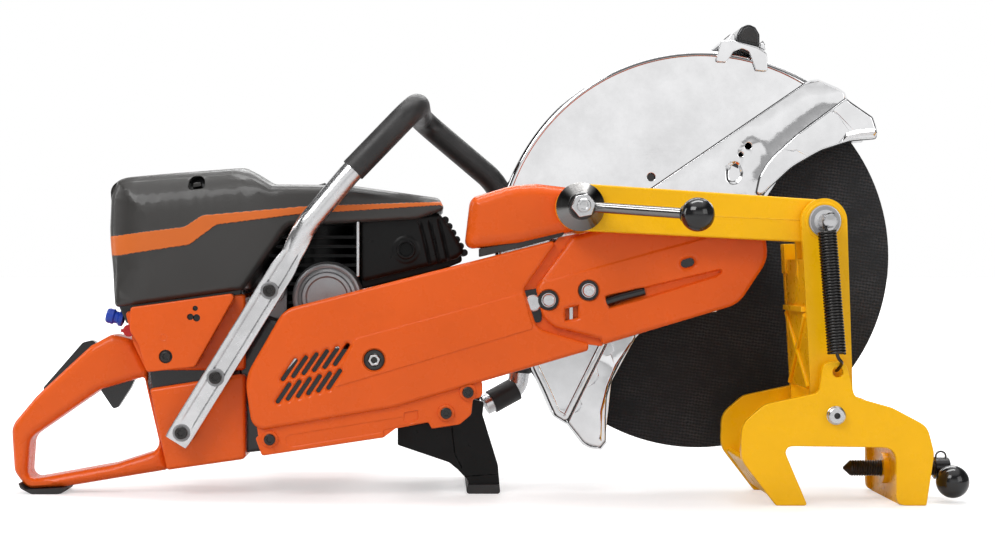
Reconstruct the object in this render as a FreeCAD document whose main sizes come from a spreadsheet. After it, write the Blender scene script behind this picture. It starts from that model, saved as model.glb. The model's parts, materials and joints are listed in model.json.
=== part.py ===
"""Petrol rail-cutting saw with an articulated rail clamp.

A combustion engine at the rear drives a 400 mm abrasive disc through a V-belt inside a cast
cutting arm. A yellow two-piece arm in front of the disc ends in a clamp that grips a rail head.

Frame: millimetres, +X from the rear handle towards the clamp, +Z up, -Y the belt side.
The origin is on the ground, under the middle of the whole machine.
"""
import FreeCAD, Part
import math
import os
import re

import Sketcher
from FreeCAD import Placement, Rotation, Vector

SIZES = {
    # cutting disc and drive line
    "disc_radius": 200, "disc_thickness": 4, "disc_plane": 48,
    "spindle_x": 230, "spindle_height": 240, "spindle_radius": 9,
    "crank_x": -166, "crank_height": 123, "crank_radius": 8.5,
    "flange_radius": 38, "flange_thickness": 6,
    "drive_pulley_radius": 24, "driven_pulley_radius": 42,
    "belt_plane": -30, "belt_width": 12, "belt_thickness": 6,
    "running_gap": 0.05, "free_gap": 0.4,
    # cutting arm and its covers
    "arm_near": -18, "arm_thickness": 10, "housing_radius": 31, "housing_far": 32,
    "cover_near": -64, "cover_far": -20, "cover_wall": 2.5, "cover_end_radius": 55,
    # bearings
    "bearing_radius": 20, "bearing_width": 12, "crank_bearing_radius": 17.5,
    # blade guard
    "guard_radius": 212, "guard_near": 20, "guard_far": 76, "guard_wall": 2.5,
    "guard_lap": 8,
    # engine
    "engine_far": 92, "engine_bore": 28, "fin_half": 46, "engine_y": 40,
    "flywheel_radius": 56, "cover_skin": 3, "intake_radius": 12,
    # body shells
    "shell_near": -42, "shell_far": 118, "panel_near": -47, "handle_mount": -44,
    "tank_near": -44, "tank_far": 90, "tank_wall": 3,
    # rear handle
    "grip_near": -24, "grip_far": 20, "control_slot": 12, "control_gap": 0.6,
    # front handle
    "tube_radius": 11, "tube_wall": 2, "sleeve_wall": 1.7, "strip_width": 25,
    "strip_thickness": 8, "strip_near": -66,
    # clamp arms
    "bracket_near": -67, "bracket_far": -21,
    "stud_x": 97, "stud_height": 287, "stud_radius": 8,
    "upper_near": -90, "upper_thickness": 20, "upper_half": 23,
    "elbow_x": 332, "elbow_height": 273, "elbow_radius": 9,
    "lower_near": -100, "lower_far": 5, "lower_plate": 7, "lower_half": 22,
    # clamp
    "pivot_x": 340, "pivot_height": 86.5, "pivot_radius": 6, "hook_hole": 5,
    "jaw_near": -114, "jaw_far": 16, "jaw_thickness": 8,
    "screw_y": -52, "screw_height": 29.5, "screw_radius": 8, "ball_radius": 16,
}

doc = FreeCAD.newDocument("RailSaw")
sheet = doc.addObject("Spreadsheet::Sheet", "Sizes")
for line, (alias, amount) in enumerate(SIZES.items(), start=1):
    sheet.set(f"A{line}", alias)
    sheet.set(f"B{line}", str(amount))
    sheet.setAlias(f"B{line}", alias)
doc.recompute()

NODES = []


# ---------------------------------------------------------------- helpers
def size(alias):
    """A driving dimension, read from the sheet."""
    return float(sheet.get(alias))


def bound(text):
    """An expression in sheet aliases, written the way setExpression wants it."""
    return re.sub(r"[a-z][a-z_0-9]*", lambda word: "Sizes." + word.group(), text)


def keep(obj, label):
    """Mark an object as a finished sub-part with its node name."""
    obj.Label = label
    NODES.append(obj)
    return obj


def rounded(corners):
    """Line and arc geometry through (across, up) or (across, up, radius) corners."""
    points = [Vector(corner[0], corner[1], 0) for corner in corners]
    starts, ends, arcs = [], [], []
    for index, corner in enumerate(corners):
        here = points[index]
        radius = corner[2] if len(corner) > 2 else 0
        if radius == 0:
            starts.append(here)
            ends.append(here)
            arcs.append(None)
            continue
        before = (points[index - 1] - here).normalize()
        after = (points[(index + 1) % len(points)] - here).normalize()
        half = before.getAngle(after) / 2
        trim = radius / math.tan(half)
        middle = (before + after).normalize()
        starts.append(here + before * trim)
        ends.append(here + after * trim)
        top = here + middle * (radius / math.sin(half) - radius)
        arcs.append(Part.Arc(starts[-1], top, ends[-1]))
    geometry = []
    for index, arc in enumerate(arcs):
        if arc is not None:
            geometry.append(arc)
        nearby = starts[(index + 1) % len(points)]
        if (ends[index] - nearby).Length > 1e-6:
            geometry.append(Part.LineSegment(ends[index], nearby))
    return geometry


def circle(across, up, radius):
    return Part.Circle(Vector(across, up, 0), Vector(0, 0, 1), radius)


def wire_of(geometry):
    return Part.Wire(Part.__sortEdges__([item.toShape() for item in geometry]))


def geometry_of(wire):
    """Sketch geometry for the straight and round edges of a flat wire."""
    geometry = []
    for edge in wire.Edges:
        first, last = edge.ParameterRange
        start, middle, end = (edge.valueAt(t) for t in (first, (first + last) / 2, last))
        if isinstance(edge.Curve, Part.Circle):
            geometry.append(Part.Arc(start, middle, end))
        else:
            geometry.append(Part.LineSegment(start, end))
    return geometry


def inset(geometry, amount):
    """The same outline moved inwards."""
    return geometry_of(wire_of(geometry).makeOffset2D(-amount))


def hull(first, first_radius, second, second_radius):
    """Outline round two circles, as two tangent lines and two arcs."""
    start, end = Vector(*first, 0), Vector(*second, 0)
    along = end - start
    lean = math.asin((first_radius - second_radius) / along.Length)
    heading = math.atan2(along.y, along.x)
    upper, lower = heading + math.pi / 2 - lean, heading - math.pi / 2 + lean

    def rim(centre, radius, angle):
        return centre + Vector(math.cos(angle), math.sin(angle), 0) * radius

    upper_start, upper_end = rim(start, first_radius, upper), rim(end, second_radius, upper)
    lower_start, lower_end = rim(start, first_radius, lower), rim(end, second_radius, lower)
    return [
        Part.LineSegment(upper_start, upper_end),
        Part.Arc(upper_end, rim(end, second_radius, heading), lower_end),
        Part.LineSegment(lower_end, lower_start),
        Part.Arc(lower_start, rim(start, first_radius, heading + math.pi), upper_start),
    ]


def origin_plane(body, role):
    for feature in body.Origin.OriginFeatures:
        if feature.Role == role:
            return feature
    raise ValueError(role)


def new_body(name):
    return doc.addObject("PartDesign::Body", name)


def add_sketch(body, role, geometry, rings=(), offset=0):
    """A sketch on an origin plane. rings are (across, up, radius alias) holes."""
    sketch = body.newObject("Sketcher::SketchObject", "Sketch")
    sketch.AttachmentSupport = [(origin_plane(body, role), "")]
    sketch.MapMode = "FlatFace"
    sketch.AttachmentOffset = Placement(Vector(0, 0, offset), Rotation())
    if geometry:
        sketch.addGeometry(geometry, False)
    for across, up, alias in rings:
        index = sketch.addGeometry(circle(across, up, size(alias)), False)
        row = sketch.addConstraint(Sketcher.Constraint("Radius", index, size(alias)))
        sketch.setExpression(f"Constraints[{row}]", bound(alias))
    return sketch


def slab(label, near, far, outline, rings=(), cuts=(), hollow=None, finish=True):
    """A side-view outline padded across the machine, from near to far (sheet expressions).

    rings are round holes right through. cuts are more geometry that makes holes right through.
    hollow is (wall, floor): the slab becomes a tray open towards +Y.
    """
    body = new_body(label)
    geometry = list(outline)
    for cut in cuts:
        geometry += cut
    sketch = add_sketch(body, "XZ_Plane", geometry, rings)
    pad = body.newObject("PartDesign::Pad", "Pad")
    pad.Profile = sketch
    pad.setExpression("Length", bound(f"({far}) - ({near})"))
    body.setExpression("Placement.Base.y", bound(far))
    body.Tip = pad
    if hollow:
        wall, floor = hollow
        inner = add_sketch(body, "XZ_Plane", inset(outline, size(wall)))
        pocket = body.newObject("PartDesign::Pocket", "Pocket")
        pocket.Profile = inner
        pocket.setExpression("Length", bound(f"({far}) - ({near}) - ({floor})"))
        pocket.Reversed = True
        body.Tip = pocket
    return keep(body, label) if finish else body


def turned(label, x, height, profile, finish=True):
    """A piece turned about an axis along Y. profile points are (radius, y)."""
    body = new_body(label)
    sketch = add_sketch(body, "XY_Plane", rounded(profile))
    turn = body.newObject("PartDesign::Revolution", "Revolution")
    turn.Profile = sketch
    turn.ReferenceAxis = (sketch, ["V_Axis"])
    turn.Angle = 360
    body.Tip = turn
    body.setExpression("Placement.Base.x", bound(x))
    body.setExpression("Placement.Base.z", bound(height))
    return keep(body, label) if finish else body


def rod(label, x, height, near, far, radius, finish=True):
    """A Part cylinder along Y whose sizes are sheet expressions."""
    bar = doc.addObject("Part::Cylinder", label)
    bar.setExpression("Radius", bound(radius))
    bar.setExpression("Height", bound(f"({far}) - ({near})"))
    bar.Placement = Placement(Vector(), Rotation(Vector(1, 0, 0), -90))
    bar.setExpression("Placement.Base.x", bound(x))
    bar.setExpression("Placement.Base.y", bound(near))
    bar.setExpression("Placement.Base.z", bound(height))
    return keep(bar, label) if finish else bar


def fuse(label, parts):
    joined = doc.addObject("Part::MultiFuse", label)
    joined.Shapes = parts
    joined.Refine = True
    return keep(joined, label)


def group(label, parts):
    """Separate solids that share one node, such as a set of equal pieces."""
    together = doc.addObject("Part::Compound", label)
    together.Links = parts
    return keep(together, label)


def cut(label, base, tool, finish=True):
    result = doc.addObject("Part::Cut", label)
    result.Base = base
    result.Tool = tool
    result.Refine = True
    return keep(result, label) if finish else result


def plain(label, shape, finish=True):
    """A free-form piece whose shape is worked out from the sheet in this file."""
    feature = doc.addObject("Part::Feature", label)
    feature.Shape = shape
    return keep(feature, label) if finish else feature


def prism(geometry, near, far):
    """Solid between two Y planes from side-view geometry (across = X, up = Z)."""
    face = Part.Face(wire_of(geometry))
    face.rotate(Vector(), Vector(1, 0, 0), 90)
    face.translate(Vector(0, near, 0))
    return face.extrude(Vector(0, far - near, 0))


def cylinder(start, end, radius):
    along = Vector(*end) - Vector(*start)
    return Part.makeCylinder(radius, along.Length, Vector(*start), along)


def union(shapes):
    result = shapes[0].fuse(shapes[1:]) if len(shapes) > 1 else shapes[0]
    return result.removeSplitter()


def path(points):
    """Straight runs joined by tangent arcs. Each inner point is (x, y, z, bend radius)."""
    spots = [Vector(*point[:3]) for point in points]
    edges = []
    last = spots[0]
    for index in range(1, len(points) - 1):
        here = spots[index]
        before = (spots[index - 1] - here).normalize()
        after = (spots[index + 1] - here).normalize()
        half = before.getAngle(after) / 2
        radius = points[index][3]
        trim = radius / math.tan(half)
        start, end = here + before * trim, here + after * trim
        top = here + (before + after).normalize() * (radius / math.sin(half) - radius)
        edges.append(Part.LineSegment(last, start).toShape())
        edges.append(Part.Arc(start, top, end).toShape())
        last = end
    edges.append(Part.LineSegment(last, spots[-1]).toShape())
    return Part.Wire(edges)


def swept(points, radius, bore=0):
    """A round bar or tube along a bent path."""
    spine = path(points)
    start = spine.Vertexes[0].Point
    heading = Vector(*points[1][:3]) - start

    def pipe(size_of_section):
        section = Part.Wire(Part.makeCircle(size_of_section, start, heading))
        return spine.makePipeShell([section], True, False)

    solid = pipe(radius)
    return solid.cut(pipe(bore)) if bore else solid


def hexagon(across_flats, x, height):
    radius = across_flats / math.sqrt(3)
    return rounded([
        (x + radius * math.cos(math.radians(60 * turn)), height + radius * math.sin(math.radians(60 * turn)))
        for turn in range(6)
    ])


# ---------------------------------------------------------------- drive line
def drive_line():
    """Crankshaft, clutch, pulleys, belt, spindle and disc."""
    spindle = ("spindle_x", "spindle_height")
    crank = ("crank_x", "crank_height")
    gap = size("running_gap")
    plane = size("disc_plane")
    half = size("disc_thickness") / 2
    near_face, far_face = plane - half, plane + half
    flange, thick = size("flange_radius"), size("flange_thickness")
    shaft = size("spindle_radius")
    belt_near = size("belt_plane") - size("belt_width") / 2
    belt_far = belt_near + size("belt_width")
    pulley = size("driven_pulley_radius")
    hub = shaft + 6

    turned("spindle", *spindle, [(0, belt_near - 4), (shaft, belt_near - 4), (shaft, near_face - thick),
                                 (shaft, far_face + thick), (0, far_face + thick)])
    turned("driven_pulley", *spindle, [
        (shaft, belt_near), (hub, belt_near), (hub, belt_near + 4), (pulley - 8, belt_near + 4),
        (pulley - 8, belt_near), (pulley, belt_near), (pulley, belt_far), (shaft, belt_far)])
    inner = turned("inner_flange", *spindle, [
        (shaft, size("housing_far") + 1), (hub, size("housing_far") + 1), (hub, near_face - thick),
        (flange, near_face - thick), (flange, near_face), (shaft, near_face)], finish=False)
    turned("abrasive_disc", *spindle, [
        (shaft, near_face), (size("disc_radius"), near_face), (size("disc_radius"), far_face),
        (shaft, far_face)])
    outer = turned("outer_flange", *spindle, [
        (shaft, far_face), (flange, far_face), (flange, far_face + thick - 2),
        (flange - 4, far_face + thick), (shaft, far_face + thick)], finish=False)
    group("disc_flanges", [inner, outer])
    bolt_near = far_face + thick
    plain("spindle_bolt", union([
        cylinder((size("spindle_x"), bolt_near, size("spindle_height")),
                 (size("spindle_x"), bolt_near + 2, size("spindle_height")), 15),
        prism(hexagon(19, size("spindle_x"), size("spindle_height")), bolt_near + 2, bolt_near + 9)]))

    drum_near, drum_far = size("cover_near") + 6, belt_near - 1
    small = size("drive_pulley_radius")
    journal = size("crank_radius")
    turned("clutch_drum", *crank, [
        (journal + gap, drum_far - 3), (37, drum_far - 3), (37, drum_near), (40, drum_near),
        (40, drum_far), (small - 6, drum_far), (small, belt_near), (small, belt_far),
        (journal + gap, belt_far)])
    turned("clutch_shoes", *crank, [
        (journal, drum_near), (36.2, drum_near), (36.2, drum_far - 4), (journal, drum_far - 4)])

    engine_y = size("engine_y")
    web, pin = 34, 8
    crankshaft = [
        cylinder((size("crank_x"), drum_near, size("crank_height")),
                 (size("crank_x"), engine_y - 14, size("crank_height")), journal),
        cylinder((size("crank_x"), engine_y + 14, size("crank_height")),
                 (size("crank_x"), size("engine_far") + 36, size("crank_height")), journal),
        cylinder((size("crank_x"), engine_y - 18, size("crank_height")),
                 (size("crank_x"), engine_y - 8, size("crank_height")), web),
        cylinder((size("crank_x"), engine_y + 8, size("crank_height")),
                 (size("crank_x"), engine_y + 18, size("crank_height")), web),
        cylinder((size("crank_x"), engine_y - 8, size("crank_height") + 20),
                 (size("crank_x"), engine_y + 8, size("crank_height") + 20), pin)]
    plain("crankshaft", union(crankshaft))

    wheel_near = size("engine_far") + 4
    wheel = size("flywheel_radius")
    disc = cylinder((size("crank_x"), wheel_near, size("crank_height")),
                    (size("crank_x"), wheel_near + 8, size("crank_height")), wheel)
    blades = []
    for index in range(18):
        blade = Part.makeBox(18, 12, 2.5, Vector(wheel - 20, wheel_near + 8, -1.25))
        blade.rotate(Vector(), Vector(0, 1, 0), index * 20)
        blade.translate(Vector(size("crank_x"), 0, size("crank_height")))
        blades.append(blade)
    bore = cylinder((size("crank_x"), wheel_near - 1, size("crank_height")),
                    (size("crank_x"), wheel_near + 30, size("crank_height")), journal)
    plain("flywheel_fan", union([disc] + blades).cut(bore))

    inner = hull((size("crank_x"), size("crank_height")), small + size("free_gap"),
                 (size("spindle_x"), size("spindle_height")), pulley + size("free_gap"))
    grown = size("belt_thickness") + size("free_gap")
    outer = hull((size("crank_x"), size("crank_height")), small + grown,
                 (size("spindle_x"), size("spindle_height")), pulley + grown)
    slab("drive_belt", "belt_plane - belt_width / 2", "belt_plane + belt_width / 2", outer, cuts=[inner])

    crankcase_near = size("arm_near") + size("arm_thickness")
    width = size("bearing_width")
    places = [
        ("spindle_bearing", spindle, shaft, size("bearing_radius"), size("arm_near") + 4),
        ("spindle_bearing", spindle, shaft, size("bearing_radius"), size("housing_far") - width - 3),
        ("crank_bearing", crank, journal, size("crank_bearing_radius"), crankcase_near + 2),
        ("crank_bearing", crank, journal, size("crank_bearing_radius"), size("engine_far") - width - 2)]
    rings = []
    for label, axis, inner_radius, outer_radius, near in places:
        rings.append(turned(label, *axis, [
            (inner_radius + gap, near), (outer_radius, near), (outer_radius, near + width),
            (inner_radius + gap, near + width)], finish=False))
    group("bearings", rings)


# ---------------------------------------------------------------- engine
def engine():
    """Crankcase, cylinder, piston, plug, carburettor, filter, muffler and starter."""
    x, height = size("crank_x"), size("crank_height")
    near, far = size("arm_near") + size("arm_thickness"), size("engine_far")
    middle = size("engine_y")
    case = prism(rounded([(x - 58, height - 62, 12), (x + 62, height - 62, 12),
                          (x + 58, height + 48, 14), (x - 54, height + 48, 14)]), near, far)
    room = cylinder((x, near + 18, height), (x, far - 18, height), 42)
    seats = [cylinder((x, near + 2, height), (x, near + 20, height), size("crank_bearing_radius")),
             cylinder((x, near - 1, height), (x, near + 3, height), size("crank_radius") + 2),
             cylinder((x, far - 20, height), (x, far - 2, height), size("crank_bearing_radius")),
             cylinder((x, far - 3, height), (x, far + 1, height), size("crank_radius") + 2)]
    throat = cylinder((x, middle, height), (x, middle, height + 60), size("engine_bore") + 4)
    top_bolt = handle_bolt_spots()[-1]
    lug = [cylinder((top_bolt.x, size("handle_mount"), top_bolt.z), (top_bolt.x, near, top_bolt.z), 13),
           Part.makeBox(26, 10, top_bolt.z - height - 40,
                        Vector(top_bolt.x - 13, near - 10, height + 49)),
           Part.makeBox(26, 18, 12, Vector(top_bolt.x - 13, near - 10, height + 47.5))]
    plain("crankcase", union([case.cut([room, throat] + seats)] + lug))

    foot = height + 48
    fins = size("fin_half")
    barrel = cylinder((x, middle, foot), (x, middle, foot + 100), size("engine_bore") + 9)
    skirt = cylinder((x, middle, foot - 8), (x, middle, foot), size("engine_bore") + 3.8)
    plates = []
    for index in range(8):
        fin = Part.makeBox(2 * fins, 2 * fins, 3, Vector(x - fins, middle - fins, foot + 20 + 9.5 * index))
        plates.append(fin)
    bore = cylinder((x, middle, foot - 9), (x, middle, foot + 88), size("engine_bore"))
    plug_hole = cylinder((x, middle, foot + 80), (x, middle, foot + 110), 6)
    plain("cylinder", union([barrel, skirt] + plates).cut([bore, plug_hole]))
    crown = foot + 74
    piston = cylinder((x, middle, foot + 30), (x, middle, crown), size("engine_bore") - 0.1)
    hollow = cylinder((x, middle, foot + 29), (x, middle, crown - 8), size("engine_bore") - 5)
    plain("piston", piston.cut(hollow))
    plain("spark_plug", union([
        cylinder((x, middle, foot + 90), (x, middle, foot + 101), 5.9),
        prism(hexagon(18, x, foot + 106), middle - 9, middle + 9).common(
            cylinder((x, middle, foot + 100), (x, middle, foot + 112), 10.5)),
        cylinder((x, middle, foot + 110), (x, middle, foot + 128), 7)]))

    plain("carburettor", union([
        Part.makeBox(44, 40, 42, Vector(x - 126, middle - 20, foot + 33)),
        cylinder((x - 83, middle, foot + 44), (x - fins - 1, middle, foot + 44), size("intake_radius"))]))
    plain("air_filter", Part.makeBox(62, 96, 60, Vector(x - 193, middle - 48, foot + 44)))


def muffler():
    """Pressed-steel silencer in front of the cylinder, with its outlet."""
    box = rounded([(-119, 211, 8), (-36, 232, 8), (-22, 236, 5), (-14, 244, 6), (-28, 268, 8),
                   (-40, 284, 8), (-119, 277, 8)])
    near, far = -32, 74
    shell = prism(box, near, far)
    hollow = prism(inset(box, 2), near + 2, far - 2)
    outlet = cylinder((-73, near - 9, 246), (-73, near + 2, 246), 8.6)
    bore = cylinder((-73, near - 10, 246), (-73, near + 3, 246), 7)
    plain("muffler", union([shell.cut(hollow), outlet]).cut(bore))


def starter():
    """Fan housing on the far side, with the recoil drum and the pull handle."""
    x, height = size("crank_x"), size("crank_height")
    near = size("engine_far") + 1
    far = near + 84
    ring = rounded([(x - 66, height - 66, 26), (x + 66, height - 66, 26), (x + 66, height + 66, 26),
                    (x - 66, height + 66, 26)])
    case = prism(ring, near, far)
    hollow = prism(inset(ring, 4), near - 1, far - 4)
    slots = []
    for index in range(12):
        slot = Part.makeBox(22, 6, 5, Vector(24, far - 5, -2.5))
        slot.rotate(Vector(), Vector(0, 1, 0), index * 30)
        slot.translate(Vector(x, 0, height))
        slots.append(slot)
    guide = cylinder((x - 45, far - 16, height + 50), (x - 45, far - 16, height + 80), 3.2)
    post = cylinder((x, far - 30, height), (x, far - 4, height), 7)
    plain("starter_cover", case.cut([hollow, guide] + slots).fuse(post).removeSplitter())
    drum_near, drum_far = far - 26, far - 10
    turned("starter_drum", "crank_x", "crank_height", [
        (7 + size("running_gap"), drum_near), (42, drum_near), (42, drum_near + 3), (34, drum_near + 5),
        (34, drum_far - 5), (42, drum_far - 3), (42, drum_far), (7 + size("running_gap"), drum_far)])
    grip_base = height + 67
    plain("starter_handle", union([
        cylinder((x - 45, far - 16, grip_base), (x - 45, far - 16, grip_base + 12), 9),
        cylinder((x - 70, far - 16, grip_base + 18), (x - 20, far - 16, grip_base + 18), 9)]))


# ---------------------------------------------------------------- cutting arm and covers
def cutting_arm():
    """Cast arm with the spindle housing, and the lower flange that shows under the belt covers."""
    x, height = size("crank_x"), size("crank_height")
    outline = hull((x, height), 48, (size("spindle_x"), size("spindle_height")), size("housing_radius"))
    plate = slab("arm_plate", "arm_near", "arm_near + arm_thickness", outline, finish=False)
    boss = rod("arm_boss", "spindle_x", "spindle_height", "arm_near", "housing_far", "housing_radius",
               finish=False)
    flange = rounded([
        (x - 49, height - 81, 3), (x + 71, height - 63, 3), (x + 83, height - 54, 3),
        (x + 115, height - 48, 2), (x + 120, height - 54, 5), (x + 141, height - 50, 6),
        (x + 158, height - 38, 6), (x + 158, height - 24, 2), (x + 169, height - 21, 3),
        (x + 169, height - 11, 2), (x + 112, height - 29, 3),
        (x + 82, height - 37, 3), (x + 45, height - 48, 3), (x - 56, height - 62, 3)])
    skirt = slab("arm_skirt", "cover_near + 6", "cover_far", flange, finish=False)
    root = rounded([(x - 38, height - 74), (x + 46, height - 62), (x + 40, height - 30), (x - 30, height - 30)])
    web = slab("arm_web", "cover_far", "arm_near + arm_thickness", root, finish=False)
    solid = doc.addObject("Part::MultiFuse", "arm_solid")
    solid.Shapes = [plate, boss, skirt, web]
    bore = rod("arm_bore", "spindle_x", "spindle_height", "arm_near - 1", "housing_far + 1",
               "bearing_radius", finish=False)
    mouth = rod("arm_mouth", "crank_x", "crank_height", "arm_near - 1", "arm_near + arm_thickness + 1",
                "drive_pulley_radius", finish=False)
    holes = doc.addObject("Part::MultiFuse", "arm_holes")
    holes.Shapes = [bore, mouth]
    cut("cutting_arm", solid, holes)


def slot_row(first, count, pitch, length, lean):
    """Slanted ventilation slots, as closed sketch loops."""
    loops = []
    across = Vector(math.cos(lean), math.sin(lean), 0)
    for index in range(count):
        foot = Vector(first[0] + pitch[0] * index, first[1] + pitch[1] * index, 0)
        top = foot + across * length
        loops.append(hull((foot.x, foot.y), 2.01, (top.x, top.y), 2.0))
    return loops


def belt_covers():
    """Two trays over the belt. The rear one wraps the clutch, the front one wraps the spindle."""
    x, height = size("crank_x"), size("crank_height")
    tip_x, tip_height = size("spindle_x"), size("spindle_height")
    rear = rounded([
        (x - 27, height + 64, 26), (x - 66, height - 4, 40), (x - 58, height - 57, 14),
        (x + 82, height - 33, 10), (107, 146, 3), (108, 153, 3), (57, 168, 14), (44, 207, 6),
        (78, 256, 3)])
    lean = math.radians(56)
    slots = slot_row((x - 28, 118), 6, (10.3, 3.0), 22, lean)
    slots += slot_row((x - 33, 96), 6, (10.0, 2.7), 20, lean)
    grommet = circle(-104, 137, 8)
    tray = slab("rear_tray", "cover_near", "cover_far", rear, cuts=slots + [[grommet]],
                hollow=("cover_wall", "cover_wall"), finish=False)
    room = size("belt_thickness") + 4
    corridor = hull((x, height), size("drive_pulley_radius") + room,
                    (tip_x, tip_height), size("driven_pulley_radius") + room)
    passage = slab("belt_passage", "cover_near + cover_wall", "cover_far + 1", corridor, finish=False)
    cut("belt_cover_rear", tray, passage)
    end = size("cover_end_radius")
    front = rounded([
        (91, 258, 3), (55.5, 208, 6), (62, 179, 12), (74, 169, 6), (119.5, 157.5, 3), (121, 151.5, 3),
        (tip_x + 26, tip_height - 48, 30), (tip_x + end, tip_height - 4, 30),
        (tip_x + end - 5, tip_height + 42, 30), (tip_x, tip_height + 60, 20)])
    window = rounded([(85, 176), (97, 179), (97, 190), (85, 187)])
    slot = rounded([(125, 199, 1), (128, 190, 1), (161, 201, 1), (159, 207, 1)])
    oval = hull((203, 232), 4.01, (208, 233.5), 4)
    tray = slab("front_tray", "cover_near", "cover_far", front, cuts=[window, slot, oval],
                hollow=("cover_wall", "cover_wall"), finish=False)
    cut("belt_cover_front", tray, passage)

    near = size("cover_near")
    bolts = []
    for across, up in ((68, 196), (107.5, 205.5)):
        washer = cylinder((across, near - 1.5, up), (across, near, up), 9.5)
        bolts.append(union([washer, prism(hexagon(11.5, across, up), near - 6, near - 1.5)]))
    across, up = -104, 137
    nut = prism(hexagon(10, across, up), near - 2, near + 6)
    bolts.append(union([nut, cylinder((across, near + 5, up), (across, size("arm_near"), up), 4)]))
    plain("arm_bolts", Part.makeCompound(bolts))


# ---------------------------------------------------------------- blade guard
def sector(radius, start, end):
    """Rim point and arc about the spindle, angles in degrees from +X towards +Z."""
    centre = Vector(size("spindle_x"), size("spindle_height"), 0)

    def rim(angle):
        turn = math.radians(angle)
        return centre + Vector(math.cos(turn), math.sin(turn), 0) * radius

    return Part.Arc(rim(start), rim((start + end) / 2), rim(end))


def blade_guard():
    """Two pressed side plates and a rim round the upper left of the disc."""
    x, height = size("spindle_x"), size("spindle_height")
    radius, wall = size("guard_radius"), size("guard_wall")
    near, far = size("guard_near"), size("guard_far")
    start, end = 36, 238
    arc = sector(radius, start, end)
    first, last = arc.StartPoint, arc.EndPoint
    inner = [first, Vector(x + 133, height + 117, 0), Vector(x + 84, height + 85, 0),
             Vector(x + 60, height + 48, 0), Vector(x + 58, height - 14, 0),
             Vector(x + 16, height - 58, 0), Vector(x - 44, height - 60, 0), Vector(x - 68, height - 86, 0),
             Vector(x - 92, height - 130, 0), Vector(x - 98, height - 186, 0), last]
    edge = [Part.LineSegment(a, b) for a, b in zip(inner, inner[1:])]
    outline = [arc] + edge
    hub = size("housing_radius") + size("free_gap")
    plate = prism(outline, near, near + wall)
    collar = cylinder((x, near + wall, height), (x, near + wall + 6, height), hub + 4)
    hole = cylinder((x, near - 1, height), (x, near + wall + 7, height), hub)
    plain("guard_shell_far", prism(outline, far - wall, far))

    rim = prism([sector(radius, start, end), Part.LineSegment(last, sector(radius - wall, start, end).EndPoint),
                 sector(radius - wall, end, start),
                 Part.LineSegment(sector(radius - wall, start, end).StartPoint, first)],
                near + wall, far - wall)
    plain("guard_shell_near", union([plate, collar, rim]).cut(hole))

    lap = size("guard_lap")

    def panel(begin, finish, depth):
        """A shorter panel that overlaps the guard outside: two cheeks and a rim."""
        big, small = radius + lap + 2.2, radius + 0.2
        ends = [sector(big, begin, finish), sector(small, begin, finish)]
        strip = prism([ends[0], Part.LineSegment(ends[0].EndPoint, ends[1].EndPoint),
                       sector(small, finish, begin),
                       Part.LineSegment(ends[1].StartPoint, ends[0].StartPoint)],
                      near - 2.5, far + 2.5)
        deep = sector(radius - depth, begin, finish)
        cheek = [sector(small + 1, begin, finish),
                 Part.LineSegment(sector(small + 1, begin, finish).EndPoint, deep.EndPoint),
                 sector(radius - depth, finish, begin),
                 Part.LineSegment(deep.StartPoint, sector(small + 1, begin, finish).StartPoint)]
        return union([strip, prism(cheek, near - 2.5, near), prism(cheek, far, far + 2.5)])

    plain("guard_panels", Part.makeCompound([panel(36, 57, 40), panel(216, 238, 42)]))

    middle = (near + far) / 2
    turn = math.radians(78)
    out = Vector(math.cos(turn), 0, math.sin(turn))
    side = Vector(-math.sin(turn), 0, math.cos(turn))
    base = Vector(x, middle, height)

    def spot(rise, shift):
        return base + out * rise + side * shift

    legs = []
    for shift in (-18, 18):
        leg = Part.makeBox(4, 26, 30, Vector(-2, -13, 0))
        leg.rotate(Vector(), Vector(0, 1, 0), 90 - 78)
        leg.translate(spot(radius - 1, shift))
        legs.append(leg)
    grip = cylinder(tuple(spot(radius + 20, -17)), tuple(spot(radius + 20, 17)), 9)
    handle = union(legs + [grip, Part.makeSphere(10.5, spot(radius + 23, 0))])
    plain("guard_handle", handle.cut(cylinder((x, near, height), (x, far, height), radius)))


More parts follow.
